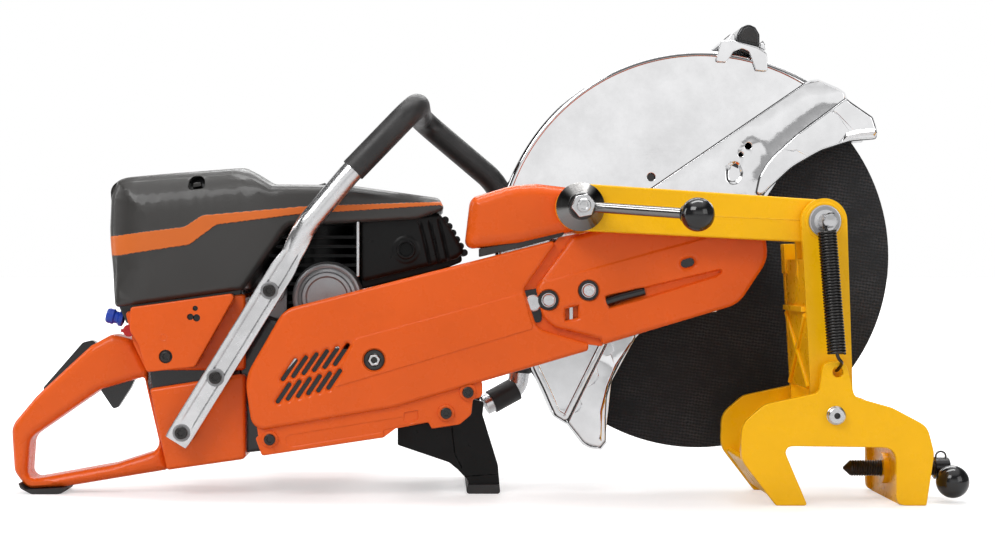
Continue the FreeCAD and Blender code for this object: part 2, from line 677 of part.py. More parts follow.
# ---------------------------------------------------------------- covers, tank and rear handle
def body_shells():
    near, far, skin = size("shell_near"), size("shell_far"), size("cover_skin")
    cover = rounded([
        (-364, 188, 4), (-374, 268, 30), (-373, 318, 18), (-300, 325, 20), (-236, 330, 20),
        (-207, 312, 20), (-130, 311, 20), (-40, 298, 8), (-34, 286, 4), (-62, 276, 12), (-122, 273, 6),
        (-191, 270, 12), (-235, 206, 6)])
    inner = rounded([
        (-360.5, 180), (-370.5, 268, 27), (-369.8, 314.8, 15), (-300, 322, 17), (-237, 326.6, 17),
        (-208, 309, 17), (-130, 308, 17), (-44, 295, 5), (-38.5, 287, 2), (-52, 262), (-187, 262),
        (-238, 192)])
    foot = size("crank_height") + 48
    intake = cylinder((-250, size("engine_y"), foot + 44), (-200, size("engine_y"), foot + 44),
                      size("intake_radius") + 1)
    shell = prism(cover, near, far).cut([prism(inner, near + skin, far - skin), intake])
    plain("top_cover", shell)
    panel = rounded([(-347, 188.5, 3), (-348, 165, 12), (-339, 152, 10), (-331, 124, 3), (-283, 129, 4),
                     (-241, 203, 4)])
    housing = housing_outline()
    housing_near, housing_far = size("panel_near") + 4, size("tank_far")
    shape = prism(housing, housing_near, housing_far)
    hollow = prism(inset(housing, size("tank_wall")), housing_near + size("tank_wall"), housing_far + 1)
    stem = cylinder((-340, -20, 171.6), (-360, -20, 176.5), 3.4)
    rocker = cylinder((-350, -39, 165), (-350, -25, 165), 6.5)
    plain("rear_housing", union([shape.cut(hollow), prism(panel, size("panel_near"), housing_near)]).cut(
        [stem, rocker]))

    tank = tank_outline()
    near, far, wall = size("tank_near"), size("tank_far"), size("tank_wall")
    shape = prism(tank, near, far)
    room = prism(inset(tank, wall), near + wall, far - wall)
    neck = cylinder((-280, far - 1, 84), (-280, far + 8, 84), 17)
    mouth = cylinder((-280, far - 4, 84), (-280, far + 9, 84), 14)
    plain("fuel_tank", union([shape, neck]).cut([room, mouth]))
    cap = cylinder((-280, far + 8.4, 84), (-280, far + 20, 84), 21)
    plug = cylinder((-280, far, 84), (-280, far + 9, 84), 13.6)
    plain("fuel_cap", union([cap, plug]))


def housing_outline():
    return rounded([(-355, 184, 4), (-347, 152, 12), (-334, 125, 4), (-234, 125, 4), (-234, 202, 4)])


def tank_outline():
    return rounded([(-329, 107, 3), (-311, 28, 14), (-234, 38, 8), (-234, 122, 6)])


def control_pocket(outline):
    """Room for a control between the two handle halves."""
    middle = (size("grip_near") + size("grip_far")) / 2
    half = size("control_slot") / 2
    return prism(outline, middle - half, middle + half)


def rear_handle():
    """Two moulded halves round a hand loop, with the trigger and its lockout between them."""
    outer = rounded([
        (-333, 151, 6), (-370, 161, 10), (-392, 149, 10), (-447, 98, 40), (-472, 68, 20), (-469, 22, 16),
        (-456, 4.5, 12), (-421, 6.3, 20), (-313, 24, 4), (-334, 110, 4)])
    loop = rounded([
        (-338, 117.5, 3), (-382, 105, 12), (-453, 56, 14), (-456, 14, 8), (-440, 16, 6), (-368, 29, 30),
        (-321, 44, 12), (-335, 104, 4)])
    behind = [prism(housing_outline(), size("panel_near"), size("tank_far")),
              prism(tank_outline(), size("tank_near"), size("tank_far"))]
    middle = (size("grip_near") + size("grip_far")) / 2
    trigger_room = rounded([(-395, 90), (-390, 110), (-383, 127), (-345, 141), (-338, 136), (-339, 100)])
    lock_room = rounded([(-441, 80), (-466, 110), (-412, 166), (-386, 170), (-376, 140), (-396, 126)])
    room = [control_pocket(trigger_room), control_pocket(lock_room)]

    def pin(near, far):
        """The half pins that the trigger and the lockout turn on."""
        low, high = max(near, middle - 6), min(far, middle + 6)
        return [cylinder((-352, low, 125), (-352, high, 125), 2.5),
                cylinder((-392, low, 146), (-392, high, 146), 2.5)]

    for label, near, far in (("rear_handle_near", size("grip_near"), middle),
                             ("rear_handle_far", middle, size("grip_far"))):
        half = prism(outer, near, far).cut(prism(loop, near - 1, far + 1))
        plain(label, half.cut(room + behind).fuse(pin(near, far)).removeSplitter())

    thin = size("control_slot") / 2 - size("control_gap")
    trigger = rounded([(-383.5, 103, 2), (-371, 84.5, 3), (-366, 86, 3), (-353, 106, 6), (-347, 119, 3),
                       (-347, 130, 5), (-357, 130, 5), (-364, 112, 4), (-381, 108, 3)])
    plain("throttle_trigger", prism(trigger, middle - thin, middle + thin).cut(
        cylinder((-352, middle - 20, 125), (-352, middle + 20, 125), 2.55)))
    lock = rounded([(-444, 104, 3), (-402, 152, 6), (-390, 155, 5), (-386, 143, 4), (-395, 137, 4),
                    (-436, 101, 1)])
    plain("throttle_lockout", prism(lock, middle - thin, middle + thin).cut(
        cylinder((-392, middle - 20, 146), (-392, middle + 20, 146), 2.55)))

    foot = rounded([(-464, 13, 0.5), (-456, 4.5, 3), (-421, 6.3, 10), (-415, 8, 2), (-419, 1, 3), (-424, 0, 4),
                    (-450, 0, 8), (-461, 6, 4)])
    pad = prism(foot, size("grip_near") - 3, size("grip_far") + 3)
    keepout = prism(outer, size("grip_near") - 4, size("grip_far") + 4)
    return pad.cut(keepout)


def controls():
    """Choke knob and stop rocker at the rear of the housing."""
    knob = cylinder((-358, -20, 176), (-375, -20, 180.2), 8)
    stem = cylinder((-335, -20, 170.4), (-359, -20, 176.3), 3)
    plain("choke_knob", union([knob, stem]))
    rocker = cylinder((-350, -38, 165), (-350, -26, 165), 6)
    ridge = Part.makeBox(4, 12, 3, Vector(-358, -38, 163.5))
    plain("stop_switch", union([rocker, ridge]))


# ---------------------------------------------------------------- front handle and feet
def cover_screws():
    """Round-headed screws on the arm's lower flange and along the rear cover's edge."""
    flange_face = size("cover_near") + 6
    spots = [(-207, 58.5, flange_face), (-33, 84.5, flange_face), (-11.5, 105, flange_face)]
    return [cylinder((x, face - 3, z), (x, face, z), 5.5) for x, z, face in spots]


def handle_bolt_spots():
    return [Vector(-293.5, 0, 65.5), Vector(-260, 0, 119.8), Vector(-207, 0, 205.5)]


def handle_route():
    """Centre line of the round tube, from the flattened leg over the top and down the far side."""
    middle = size("strip_near") + size("strip_thickness") / 2
    return [(-186, middle, 239), (-171, middle, 270, 60), (-129, middle + 2, 320, 90),
            (-62, middle + 10, 390, 26), (-60, 118, 389, 26), (22, 122, 320, 60), (58, 122, 230, 90),
            (46, 120, 98, 20), (10, 112, 79)]


def between(first, second, share):
    return tuple(a + (b - a) * share for a, b in zip(first[:3], second[:3]))


def front_handle():
    """A tube loop over the engine; its belt-side leg is flattened and bolted to the body."""
    near, thick = size("strip_near"), size("strip_thickness")
    radius, sleeve_wall = size("tube_radius"), size("sleeve_wall")
    low, high = Vector(-297, 0, 60), Vector(-184, 0, 243)
    along = (high - low).normalize()
    across = Vector(-along.z, 0, along.x) * (size("strip_width") / 2)
    corners = [low - across, high - across, high + across, low + across]
    strip = prism(rounded([(corners[0].x, corners[0].z, 6), (corners[1].x, corners[1].z),
                           (corners[2].x, corners[2].z), (corners[3].x, corners[3].z, 6)]),
                  near, near + thick)
    groove_low, groove_high = low + along * 22, high - along * 20
    groove = prism(hull((groove_low.x, groove_low.z), 4.01, (groove_high.x, groove_high.z), 4),
                   near - 1, near + 2)
    holes = [cylinder((spot.x, near - 1, spot.z), (spot.x, near + thick + 1, spot.z), 4)
             for spot in handle_bolt_spots()]
    route = handle_route()
    tube = swept(route, radius, radius - size("tube_wall"))
    plain("front_handle", tube.fuse(strip.cut([groove] + holes)).removeSplitter())
    sleeve_route = [between(route[2], route[3], 0.06)] + route[3:7] + [between(route[6], route[7], 0.88)]
    plain("handle_sleeve", swept(sleeve_route, radius + sleeve_wall, radius))

    bolts, posts = cover_screws(), []
    for spot in handle_bolt_spots():
        head = cylinder((spot.x, near - 5, spot.z), (spot.x, near, spot.z), 6.5)
        shank = cylinder((spot.x, near, spot.z), (spot.x, near + thick + 8, spot.z), 4)
        bolts.append(union([head, shank]))
        post = cylinder((spot.x, near + thick, spot.z), (spot.x, size("handle_mount"), spot.z), 12)
        posts.append(post.cut(shank))
    plain("body_screws", Part.makeCompound(bolts))
    plain("handle_dampers", Part.makeCompound(posts))


def front_stand(rear_foot):
    """Black bracket and leg that hold the front of the saw off the ground."""
    near, far, wall = -19, 118, 8
    side = rounded([(-104, 66, 3), (-104, 50, 3), (-30, 34, 4), (-12, 18, 4), (-10, 9), (20, 9),
                    (17, 30, 8), (4, 78, 8), (3, 100, 4), (-10, 82, 6), (-28, 66, 8)])
    tie = rounded([(-10, 9), (20, 9), (18, 22, 3), (-12, 22, 3)])
    shelf = rounded([(-104, 50), (-60, 41), (-60, 49), (-104, 60)])
    route = handle_route()
    socket = cylinder((-12, 107.5, 68), route[-1], size("tube_radius") + 4)
    solid = union([prism(side, near, near + wall), prism(side, far - wall, far),
                   prism(tie, near + wall, far - wall), prism(shelf, near + wall, far - wall), socket])
    entry = cylinder(route[-1], route[-2][:3], size("tube_radius"))
    plain("front_stand", solid.cut(entry))
    pad = rounded([(-13, 0, 3), (22, 0, 3), (21, 9), (-11, 9)])
    plain("rubber_feet", Part.makeCompound([prism(pad, near - 4, far + 2), rear_foot]))


# ---------------------------------------------------------------- rail clamp
def clamp_mount():
    """Bracket on the saw, its rubber seal, and the stud that the clamp arm turns on."""
    outline = rounded([
        (-15, 246, 8), (39, 251, 20), (86, 262), (118, 272, 14), (116, 304, 16), (56, 311, 30),
        (31, 309, 20), (-9, 297, 10)])
    slab("coupling_bracket", "bracket_near", "bracket_far", outline,
         rings=[(size("stud_x"), size("stud_height"), "stud_radius")])
    x, height = size("stud_x"), size("stud_height")
    near = size("upper_near")
    gap = size("running_gap")
    stud = turned("stud_bar", "stud_x", "stud_height", [
        (0, near - 48), (6.6, near - 48), (6.6, near - 30), (size("stud_radius") - gap, near - 30),
        (size("stud_radius") - gap, size("bracket_near")), (size("stud_radius"), size("bracket_near")),
        (size("stud_radius"), size("bracket_far")), (0, size("bracket_far"))], finish=False)
    nut = plain("stud_nut", prism(hexagon(18, x, height), near - 42, near - 31), finish=False)
    fuse("clamp_stud", [stud, nut])


def lock_lever():
    """Cone washer, and the lever hub, rod and ball that lock the clamp arm on its stud."""
    x, height = size("stud_x"), size("stud_height")
    near = size("upper_near")
    bore = size("stud_radius") + size("running_gap")
    turned("lock_cone", "stud_x", "stud_height", [
        (bore, near - 0.1), (23, near - 0.1), (23.5, near - 4), (13, near - 14), (bore, near - 14)])
    hub = cylinder((x, near - 29, height), (x, near - 14.5, height), 13)
    ball = Vector(200, -167, 277.4)
    start = Vector(x, near - 18, height)
    aim = (ball - start).normalize()
    bar = cylinder(tuple(start + aim * 9), tuple(ball), 5)
    hole = cylinder((x, near - 40, height), (x, near, height), bore)
    globe = Part.makeSphere(size("ball_radius"), ball)
    plain("lock_lever", union([hub, bar, globe]).cut(hole))


def clamp_arms():
    """Upper arm on the stud, lower arm on the elbow pin, and the return spring."""
    stud = (size("stud_x"), size("stud_height"))
    elbow = (size("elbow_x"), size("elbow_height"))
    pivot = (size("pivot_x"), size("pivot_height"))
    outline = hull(stud, size("upper_half") + 0.01, elbow, size("upper_half") - 2)
    slab("upper_arm", "upper_near", "upper_near + upper_thickness", outline,
         rings=[(*stud, "stud_radius"), (*elbow, "elbow_radius")])

    near, far, wall = size("lower_near"), size("lower_far"), size("lower_plate")
    half = size("lower_half")
    gap = size("running_gap")
    cheek = hull(elbow, half + 0.01, pivot, half - 2)
    lug_near = size("upper_near") + size("upper_thickness") + 2
    lug = hull(elbow, half + 0.01, (elbow[0] + 2, elbow[1] - 50), half)
    slope = (pivot[0] - elbow[0] + 2) / (elbow[1] - pivot[1])
    top, bottom = elbow[1] - 37, pivot[1] + 24

    def left_edge(height):
        return elbow[0] - half + (elbow[1] - height) * slope

    web = rounded([(left_edge(top), top), (left_edge(bottom), bottom),
                   (left_edge(bottom) + wall, bottom), (left_edge(top) + wall, top)])
    rib_height = (top + bottom) / 2 + 12
    rib = rounded([(left_edge(rib_height) - 4, rib_height), (left_edge(rib_height) + 3, rib_height),
                   (left_edge(rib_height) + 3, rib_height + 5), (left_edge(rib_height) - 4, rib_height + 5)])
    pieces = [prism(cheek, near, near + wall),
              prism(hull((elbow[0] + 2, elbow[1] - 50), half + 0.01, pivot, half - 2), far - wall, far),
              prism(web, near + wall, far - wall), prism(rib, near + wall, far - wall),
              prism(lug, lug_near, lug_near + wall)]
    bores = [cylinder((elbow[0], near - 1, elbow[1]), (elbow[0], far, elbow[1]), size("elbow_radius") - gap),
             cylinder((pivot[0], near - 1, pivot[1]), (pivot[0], far + 1, pivot[1]),
                      size("pivot_radius") + gap)]
    plain("lower_arm", union(pieces).cut(bores))
    turned("elbow_pin", "elbow_x", "elbow_height", [
        (0, near - 28), (6.5, near - 28), (6.5, near - 5), (15, near - 4), (15, near),
        (size("elbow_radius") - gap, near), (size("elbow_radius") - gap, lug_near + wall + 4),
        (0, lug_near + wall + 4)])

    top_end = (elbow[0] - 2.5, near - 24, elbow[1] - 11)
    low_end = (pivot[0] - 1.5, near - 24, pivot[1] + 58)
    coil = cylinder(top_end, low_end, 9.3).cut(cylinder(top_end, low_end, 6.2))
    plain("return_spring", coil)


def rail_clamp():
    """Two jaw plates, their cross pieces, the pivot bolt and the clamping screw."""
    x, height = size("pivot_x"), size("pivot_height")
    outline = rounded([
        (398, 0), (427, 0, 2), (434.5, 50, 14), (428, 76, 16), (394, 94, 10), (358, 104, 8),
        (350, 138, 9), (328, 138, 9), (324, 108, 6), (272, 97, 14), (250, 78, 20), (249, 44, 20),
        (283, 0, 2), (313, 0, 2), (289, 57, 6), (398, 55.5, 12)])
    slab("clamp_plate_near", "jaw_near", "jaw_near + jaw_thickness", outline,
         rings=[(x, height, "pivot_radius"), (x + 2, height + 41.5, "hook_hole")])
    slab("clamp_plate_far", "jaw_far - jaw_thickness", "jaw_far", outline,
         rings=[(x, height, "pivot_radius"), (x + 2, height + 41.5, "hook_hole")])
    inner_near = size("jaw_near") + size("jaw_thickness")
    inner_far = size("jaw_far") - size("jaw_thickness")
    saddle = rounded([(300, 57.5), (388, 57.5), (388, 63), (300, 63)])
    screw_y, level = size("screw_y"), size("screw_height")
    wall = Part.makeBox(9, inner_far - inner_near, 52, Vector(403, inner_near, 0))
    boss = cylinder((398, screw_y, level), (418, screw_y, level), 15)
    bore = cylinder((390, screw_y, level), (430, screw_y, level), size("screw_radius") + size("running_gap"))
    plain("clamp_cross_plates", Part.makeCompound([prism(saddle, inner_near, inner_far),
                                                   union([wall, boss]).cut(bore)]))

    near, far = size("jaw_near"), size("jaw_far")
    bolt = union([cylinder((x, near - 6, height), (x, near, height), 8.3),
                  cylinder((x, near, height), (x, far, height), size("pivot_radius")),
                  cylinder((x, far, height), (x, far + 3.5, height), 8.3)])
    plain("clamp_pivot_bolt", bolt)
    tip = 356
    neck = 4
    pad = union([cylinder((tip, screw_y, level), (tip + 6, screw_y, level), 11),
                 cylinder((tip + 6, screw_y, level), (tip + 10, screw_y, level), 9)])
    seat = cylinder((tip + 4, screw_y, level), (tip + 11, screw_y, level), neck + size("running_gap"))
    plain("screw_pad", pad.cut(seat))
    screw = union([cylinder((tip + 4, screw_y, level), (tip + 10.1, screw_y, level), neck),
                   cylinder((tip + 10.1, screw_y, level), (450, screw_y, level), size("screw_radius"))])
    plain("clamp_screw", screw)
    ball = Vector(459, -88, 20)
    start = Vector(457, screw_y, level)
    aim = (ball - start).normalize()
    hub = cylinder((450, screw_y, level), (465, screw_y, level), 11)
    bar = cylinder(tuple(start), tuple(ball), 5)
    plain("screw_lever", union([hub, bar, Part.makeSphere(size("ball_radius"), ball)]))


def main():
    drive_line()
    engine()
    muffler()
    starter()
    cutting_arm()
    belt_covers()
    blade_guard()
    body_shells()
    rear_foot = rear_handle()
    controls()
    front_handle()
    front_stand(rear_foot)
    clamp_mount()
    lock_lever()
    clamp_arms()
    rail_clamp()


main()
doc.recompute()
for obj in doc.Objects:
    if "Invalid" in obj.State or "Error" in obj.State:
        raise RuntimeError(f"{obj.Label}: {obj.State}")
for obj in NODES:
    if obj.Shape.isNull() or not obj.Shape.isValid():
        raise RuntimeError(f"{obj.Label}: bad shape")
os.makedirs("parts", exist_ok=True)
for obj in NODES:
    obj.Shape.exportStep(f"parts/{obj.Label}.step")
print(len(NODES), "nodes")
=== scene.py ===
"""Looks of a petrol rail-cutting saw with an articulated rail clamp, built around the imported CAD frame.

Lengths are metres in the CAD frame: +X runs from the rear handle to the clamp, +Z is up and -Y is the
side with the belt covers and the clamp arm.
"""

import json
import math

import bmesh
import bpy
import numpy as np
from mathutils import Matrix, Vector, geometry

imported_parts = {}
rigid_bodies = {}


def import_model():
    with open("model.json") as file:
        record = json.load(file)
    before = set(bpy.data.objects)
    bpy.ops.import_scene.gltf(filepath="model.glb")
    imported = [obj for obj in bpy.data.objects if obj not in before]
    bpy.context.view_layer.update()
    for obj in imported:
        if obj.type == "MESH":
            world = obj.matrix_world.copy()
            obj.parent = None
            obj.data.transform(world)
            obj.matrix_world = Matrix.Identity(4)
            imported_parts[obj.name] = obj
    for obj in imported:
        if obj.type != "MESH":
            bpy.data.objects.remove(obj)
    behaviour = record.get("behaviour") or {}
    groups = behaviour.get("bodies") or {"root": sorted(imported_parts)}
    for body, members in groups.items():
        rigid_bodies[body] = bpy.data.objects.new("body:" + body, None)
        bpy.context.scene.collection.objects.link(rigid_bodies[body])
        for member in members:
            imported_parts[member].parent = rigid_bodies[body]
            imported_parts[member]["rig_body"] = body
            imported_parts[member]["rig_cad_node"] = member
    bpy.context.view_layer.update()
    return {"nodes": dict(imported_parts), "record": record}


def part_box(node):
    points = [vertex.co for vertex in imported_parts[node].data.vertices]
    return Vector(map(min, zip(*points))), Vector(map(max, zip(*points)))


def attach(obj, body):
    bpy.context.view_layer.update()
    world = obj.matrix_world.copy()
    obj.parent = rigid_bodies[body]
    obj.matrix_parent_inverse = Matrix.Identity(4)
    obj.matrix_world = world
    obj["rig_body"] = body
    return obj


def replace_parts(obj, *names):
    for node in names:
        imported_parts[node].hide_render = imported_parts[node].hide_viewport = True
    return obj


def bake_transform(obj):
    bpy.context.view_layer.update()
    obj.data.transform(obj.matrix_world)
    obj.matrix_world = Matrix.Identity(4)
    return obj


MM = 0.001
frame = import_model()
NODES = frame["nodes"]
SLOT_OF = {row["node"]: row["material_slot"] for row in frame["record"]["subparts"]}
MATERIALS = {}


# ---------------------------------------------------------------- materials

class Tree:
    """A node tree, with short calls for the nodes that this scene uses."""

    def __init__(self, tree):
        self.tree = tree

    def node(self, kind, **settings):
        made = self.tree.nodes.new(kind)
        for key, value in settings.items():
            setattr(made, key, value)
        return made

    def link(self, source, target):
        self.tree.links.new(source, target)

    def feed(self, value, socket):
        """Sets a socket to a number or colour, or links another node's output to it."""
        if isinstance(value, bpy.types.NodeSocket):
            self.link(value, socket)
        elif isinstance(value, tuple):
            socket.default_value = (*value, 1.0)
        else:
            socket.default_value = value

    def spread(self, value, low, high, start=0.0, end=1.0):
        """value taken from the range low..high to the range start..end."""
        made = self.node("ShaderNodeMapRange")
        for socket, number in zip(("From Min", "From Max", "To Min", "To Max"), (low, high, start, end)):
            made.inputs[socket].default_value = number
        self.link(value, made.inputs["Value"])
        return made.outputs["Result"]

    def maths(self, operation, first, second=0.0):
        made = self.node("ShaderNodeMath", operation=operation)
        for socket, value in zip(made.inputs, (first, second)):
            self.feed(value, socket)
        return made.outputs["Value"]

    def shades(self, value, *steps):
        """The colour at value on a ramp of (place, colour) steps."""
        made = self.node("ShaderNodeValToRGB")
        stops = made.color_ramp.elements
        for stop, (place, colour) in zip(stops, (steps[0], steps[-1])):
            stop.position = place
            stop.color = (*colour, 1.0)
        for place, colour in steps[1:-1]:
            stops.new(place).color = (*colour, 1.0)
        self.link(value, made.inputs["Fac"])
        return made.outputs["Color"]

    def background(self, colour, strength):
        made = self.node("ShaderNodeBackground")
        self.feed(colour, made.inputs["Color"])
        self.feed(strength, made.inputs["Strength"])
        return made.outputs["Background"]

    def shader_mix(self, share, first, second):
        made = self.node("ShaderNodeMixShader")
        for socket, value in zip(made.inputs, (share, first, second)):
            self.link(value, socket)
        return made.outputs["Shader"]


class Graph(Tree):
    """A material's node tree, around its one shader."""

    def __init__(self, name):
        self.material = bpy.data.materials.new(name)
        self.material.use_nodes = True
        super().__init__(self.material.node_tree)
        MATERIALS[name] = self.material
        self.shader = self.tree.nodes["Principled BSDF"]
        self.place = self.node("ShaderNodeTexCoord").outputs["Object"]

    def stretched(self, scale):
        """Object coordinates scaled by three numbers, for grain that runs one way."""
        mapping = self.node("ShaderNodeMapping")
        mapping.inputs["Scale"].default_value = scale
        self.link(self.place, mapping.inputs["Vector"])
        return mapping.outputs["Vector"]

    def noise(self, scale, detail=4.0, roughness=0.55, place=None):
        made = self.node("ShaderNodeTexNoise")
        made.inputs["Scale"].default_value = scale
        made.inputs["Detail"].default_value = detail
        made.inputs["Roughness"].default_value = roughness
        self.link(place or self.place, made.inputs["Vector"])
        return made.outputs["Fac"]

    def cells(self, scale):
        made = self.node("ShaderNodeTexVoronoi", feature="F1")
        made.inputs["Scale"].default_value = scale
        self.link(self.place, made.inputs["Vector"])
        return made.outputs["Distance"]

    def mix(self, share, first, second):
        """Colour first where share is 0 and second where it is 1."""
        made = self.node("ShaderNodeMix", data_type="RGBA")
        self.link(share, made.inputs["Factor"])
        for socket, value in zip(made.inputs[6:8], (first, second)):
            self.feed(value, socket)
        return made.outputs[2]

    def bump(self, height, distance, strength, normal=None):
        made = self.node("ShaderNodeBump")
        made.inputs["Distance"].default_value = distance
        made.inputs["Strength"].default_value = strength
        self.link(height, made.inputs["Height"])
        if normal is not None:
            self.link(normal, made.inputs["Normal"])
        return made.outputs["Normal"]

    def edges(self, radius=0.0012):
        """1 along outer edges and 0 on flat faces, broken up by noise: rubbed paint on powder coat, a
        painted edge highlight on plastic.
        """
        bevel = self.node("ShaderNodeBevel", samples=4)
        bevel.inputs["Radius"].default_value = radius
        geometry_node = self.node("ShaderNodeNewGeometry")
        dot = self.node("ShaderNodeVectorMath", operation="DOT_PRODUCT")
        self.link(bevel.outputs["Normal"], dot.inputs[0])
        self.link(geometry_node.outputs["Normal"], dot.inputs[1])
        edge_wear_and_sheen = self.spread(dot.outputs["Value"], 0.97, 0.80)
        return self.maths("MULTIPLY", edge_wear_and_sheen, self.spread(self.noise(140.0, 6.0), 0.42, 0.62))

    def set(self, **values):
        for name, value in values.items():
            self.shader.inputs[name.replace("_", " ")].default_value = value

    def colour(self, socket):
        self.link(socket, self.shader.inputs["Base Color"])

    def roughness(self, socket):
        self.link(socket, self.shader.inputs["Roughness"])

    def normal(self, socket):
        self.link(socket, self.shader.inputs["Normal"])


def darker(colour, share):
    """A colour with every channel multiplied by share."""
    return tuple(c * share for c in colour)


def moulded_plastic(name, colour, rough, grain, coat=0.0, edge_wear_and_sheen=None, shine=0.35):
    """Injection-moulded plastic: fine sparked grain, faint flow marks and a painted highlight that makes
    its outer edges paler.
    """
    g = Graph(name)
    flow = g.spread(g.noise(9.0, 3.0), 0.3, 0.7)
    base = g.mix(flow, darker(colour, 0.93), darker(colour, 1.04))
    # Paler outer edges here are a painted edge highlight.
    if edge_wear_and_sheen:
        base = g.mix(g.maths("MULTIPLY", g.edges(), 0.55), base, edge_wear_and_sheen)
    g.colour(base)
    smudge = g.spread(g.noise(34.0, 6.0, 0.62), 0.35, 0.7, rough * 0.85, rough * 1.25)
    g.roughness(smudge)
    fine = g.noise(2400.0, 2.0, 0.6)
    sink = g.bump(g.noise(14.0, 2.0), 0.0022, 0.10)
    g.normal(g.bump(fine, grain, 0.5, sink))
    g.set(Coat_Weight=coat, Coat_Roughness=0.08, Specular_IOR_Level=shine)


def powder_coat(name, colour, rough, edge_wear_and_sheen, coat, shine):
    """Powder-coated metal: orange-peel skin, with the coat rubbed thin along its edges."""
    g = Graph(name)
    tone = g.spread(g.noise(11.0, 4.0), 0.3, 0.7)
    base = g.mix(tone, darker(colour, 0.92), darker(colour, 1.03))
    base = g.mix(g.maths("MULTIPLY", g.edges(0.0015), 0.7), base, edge_wear_and_sheen)
    g.colour(base)
    g.roughness(g.spread(g.noise(60.0, 5.0), 0.35, 0.7, rough * 0.8, rough * 1.3))
    peel = g.bump(g.noise(420.0, 2.0, 0.5), 0.0004, 0.35)
    g.normal(g.bump(g.noise(1900.0, 2.0), 0.0001, 0.3, peel))
    g.set(Coat_Weight=coat, Coat_Roughness=0.12, Specular_IOR_Level=shine)


def bare_metal(name, colour, rough, stretch, marks, wave=0.0, coat=0.0):
    """Metal with drawn or ground grain along one direction, stains in its shine and light dents."""
    g = Graph(name)
    lines = g.noise(160.0, 6.0, 0.7, g.stretched(stretch))
    stain = g.spread(g.noise(26.0, 5.0, 0.65), 0.35, 0.68)
    g.colour(g.mix(stain, darker(colour, 0.86), colour))
    both = g.maths("ADD", g.maths("MULTIPLY", lines, marks), g.maths("MULTIPLY", stain, 0.5))
    g.roughness(g.spread(both, 0.2, 0.8, rough * 0.7, rough * 1.35))
    normal = g.bump(lines, 0.00012, marks)
    if wave:
        normal = g.bump(g.noise(7.0, 1.0), 0.004, wave, normal)
    g.normal(normal)
    g.set(Metallic=1.0, Coat_Weight=coat)


def rubbery(name, colour):
    """Matt rubber with a fine grain and a little dust."""
    g = Graph(name)
    dust = g.spread(g.noise(45.0, 6.0, 0.65), 0.45, 0.75)
    g.colour(g.mix(dust, colour, darker(colour, 1.9)))
    g.roughness(g.spread(dust, 0.0, 1.0, 0.42, 0.62))
    g.normal(g.bump(g.noise(1300.0, 3.0), 0.00015, 0.5))
    g.set(Specular_IOR_Level=0.5)


def abrasive_stone(name):
    """Resin-bonded abrasive: a woven glass mesh shows through dark grit with bright grains."""
    g = Graph(name)
    weave = []
    tilt = g.node("ShaderNodeMapping")
    tilt.inputs["Rotation"].default_value = (0.0, math.radians(-8.0), 0.0)
    g.link(g.place, tilt.inputs["Vector"])
    for axis in ("X", "Z"):
        made = g.node("ShaderNodeTexWave", wave_type="BANDS", bands_direction=axis)
        made.inputs["Scale"].default_value = 95.0
        made.inputs["Distortion"].default_value = 3.4
        made.inputs["Detail"].default_value = 3.0
        made.inputs["Detail Scale"].default_value = 4.0
        g.link(tilt.outputs["Vector"], made.inputs["Vector"])
        weave.append(made.outputs["Fac"])
    net = g.maths("ADD", g.maths("MULTIPLY", weave[0], 0.35), g.maths("MULTIPLY", weave[1], 0.65))
    cloud = g.spread(g.noise(30.0, 6.0, 0.7), 0.35, 0.7)
    thread = g.maths("MULTIPLY", g.spread(net, 0.1, 0.9), cloud)
    base = g.mix(thread, (0.009, 0.010, 0.012), (0.060, 0.060, 0.064))
    grains = g.spread(g.cells(1700.0), 0.16, 0.05)
    base = g.mix(g.maths("MULTIPLY", grains, g.spread(g.noise(500.0), 0.55, 0.75)), base,
        (0.34, 0.33, 0.32))
    g.colour(base)
    g.roughness(g.spread(cloud, 0.0, 1.0, 0.72, 0.9))
    rough_skin = g.bump(g.noise(900.0, 4.0, 0.7), 0.0008, 0.9)
    g.normal(g.bump(net, 0.0006, 0.9, rough_skin))


def open_foam(name):
    """Open-pored filter foam."""
    g = Graph(name)
    pores = g.cells(900.0)
    g.colour(g.mix(g.spread(pores, 0.1, 0.6), (0.008, 0.008, 0.008), (0.075, 0.075, 0.075)))
    g.roughness(g.spread(pores, 0.0, 1.0, 0.8, 1.0))
    g.normal(g.bump(pores, 0.0015, 1.0))


# The orange plastic's paler edge colour (0.90, 0.24, 0.07) is a painted edge highlight.
moulded_plastic("orange_plastic", (0.790, 0.112, 0.010), 0.27, 0.00003, 0.10, (0.90, 0.24, 0.07), 0.25)
moulded_plastic("accent_plastic", (0.66, 0.145, 0.022), 0.38, 0.00006)
moulded_plastic("dark_plastic", (0.037, 0.035, 0.033), 0.38, 0.00014, 0.20, shine=0.40)
moulded_plastic("black_plastic", (0.010, 0.010, 0.011), 0.16, 0.00002, 0.6)
moulded_plastic("blue_plastic", (0.012, 0.050, 0.40), 0.25, 0.00003, 0.3)
moulded_plastic("red_plastic", (0.45, 0.010, 0.009), 0.25, 0.00003, 0.3)
rubbery("rubber", (0.020, 0.019, 0.019))
powder_coat("yellow_paint", (1.0, 0.52, 0.003), 0.30, (1.0, 0.66, 0.08), 0.06, 0.25)
powder_coat("black_paint", (0.007, 0.007, 0.007), 0.34, (0.05, 0.05, 0.05), 0.0, 0.18)
bare_metal("aluminium", (0.83, 0.83, 0.84), 0.26, (1.0, 40.0, 1.0), 0.5)
bare_metal("guard_metal", (0.90, 0.90, 0.91), 0.07, (1.0, 1.0, 9.0), 0.12, 0.10)
bare_metal("cast_metal", (0.42, 0.42, 0.43), 0.46, (4.0, 4.0, 4.0), 0.9)
bare_metal("zinc_steel", (0.72, 0.72, 0.73), 0.24, (1.0, 8.0, 1.0), 0.5)
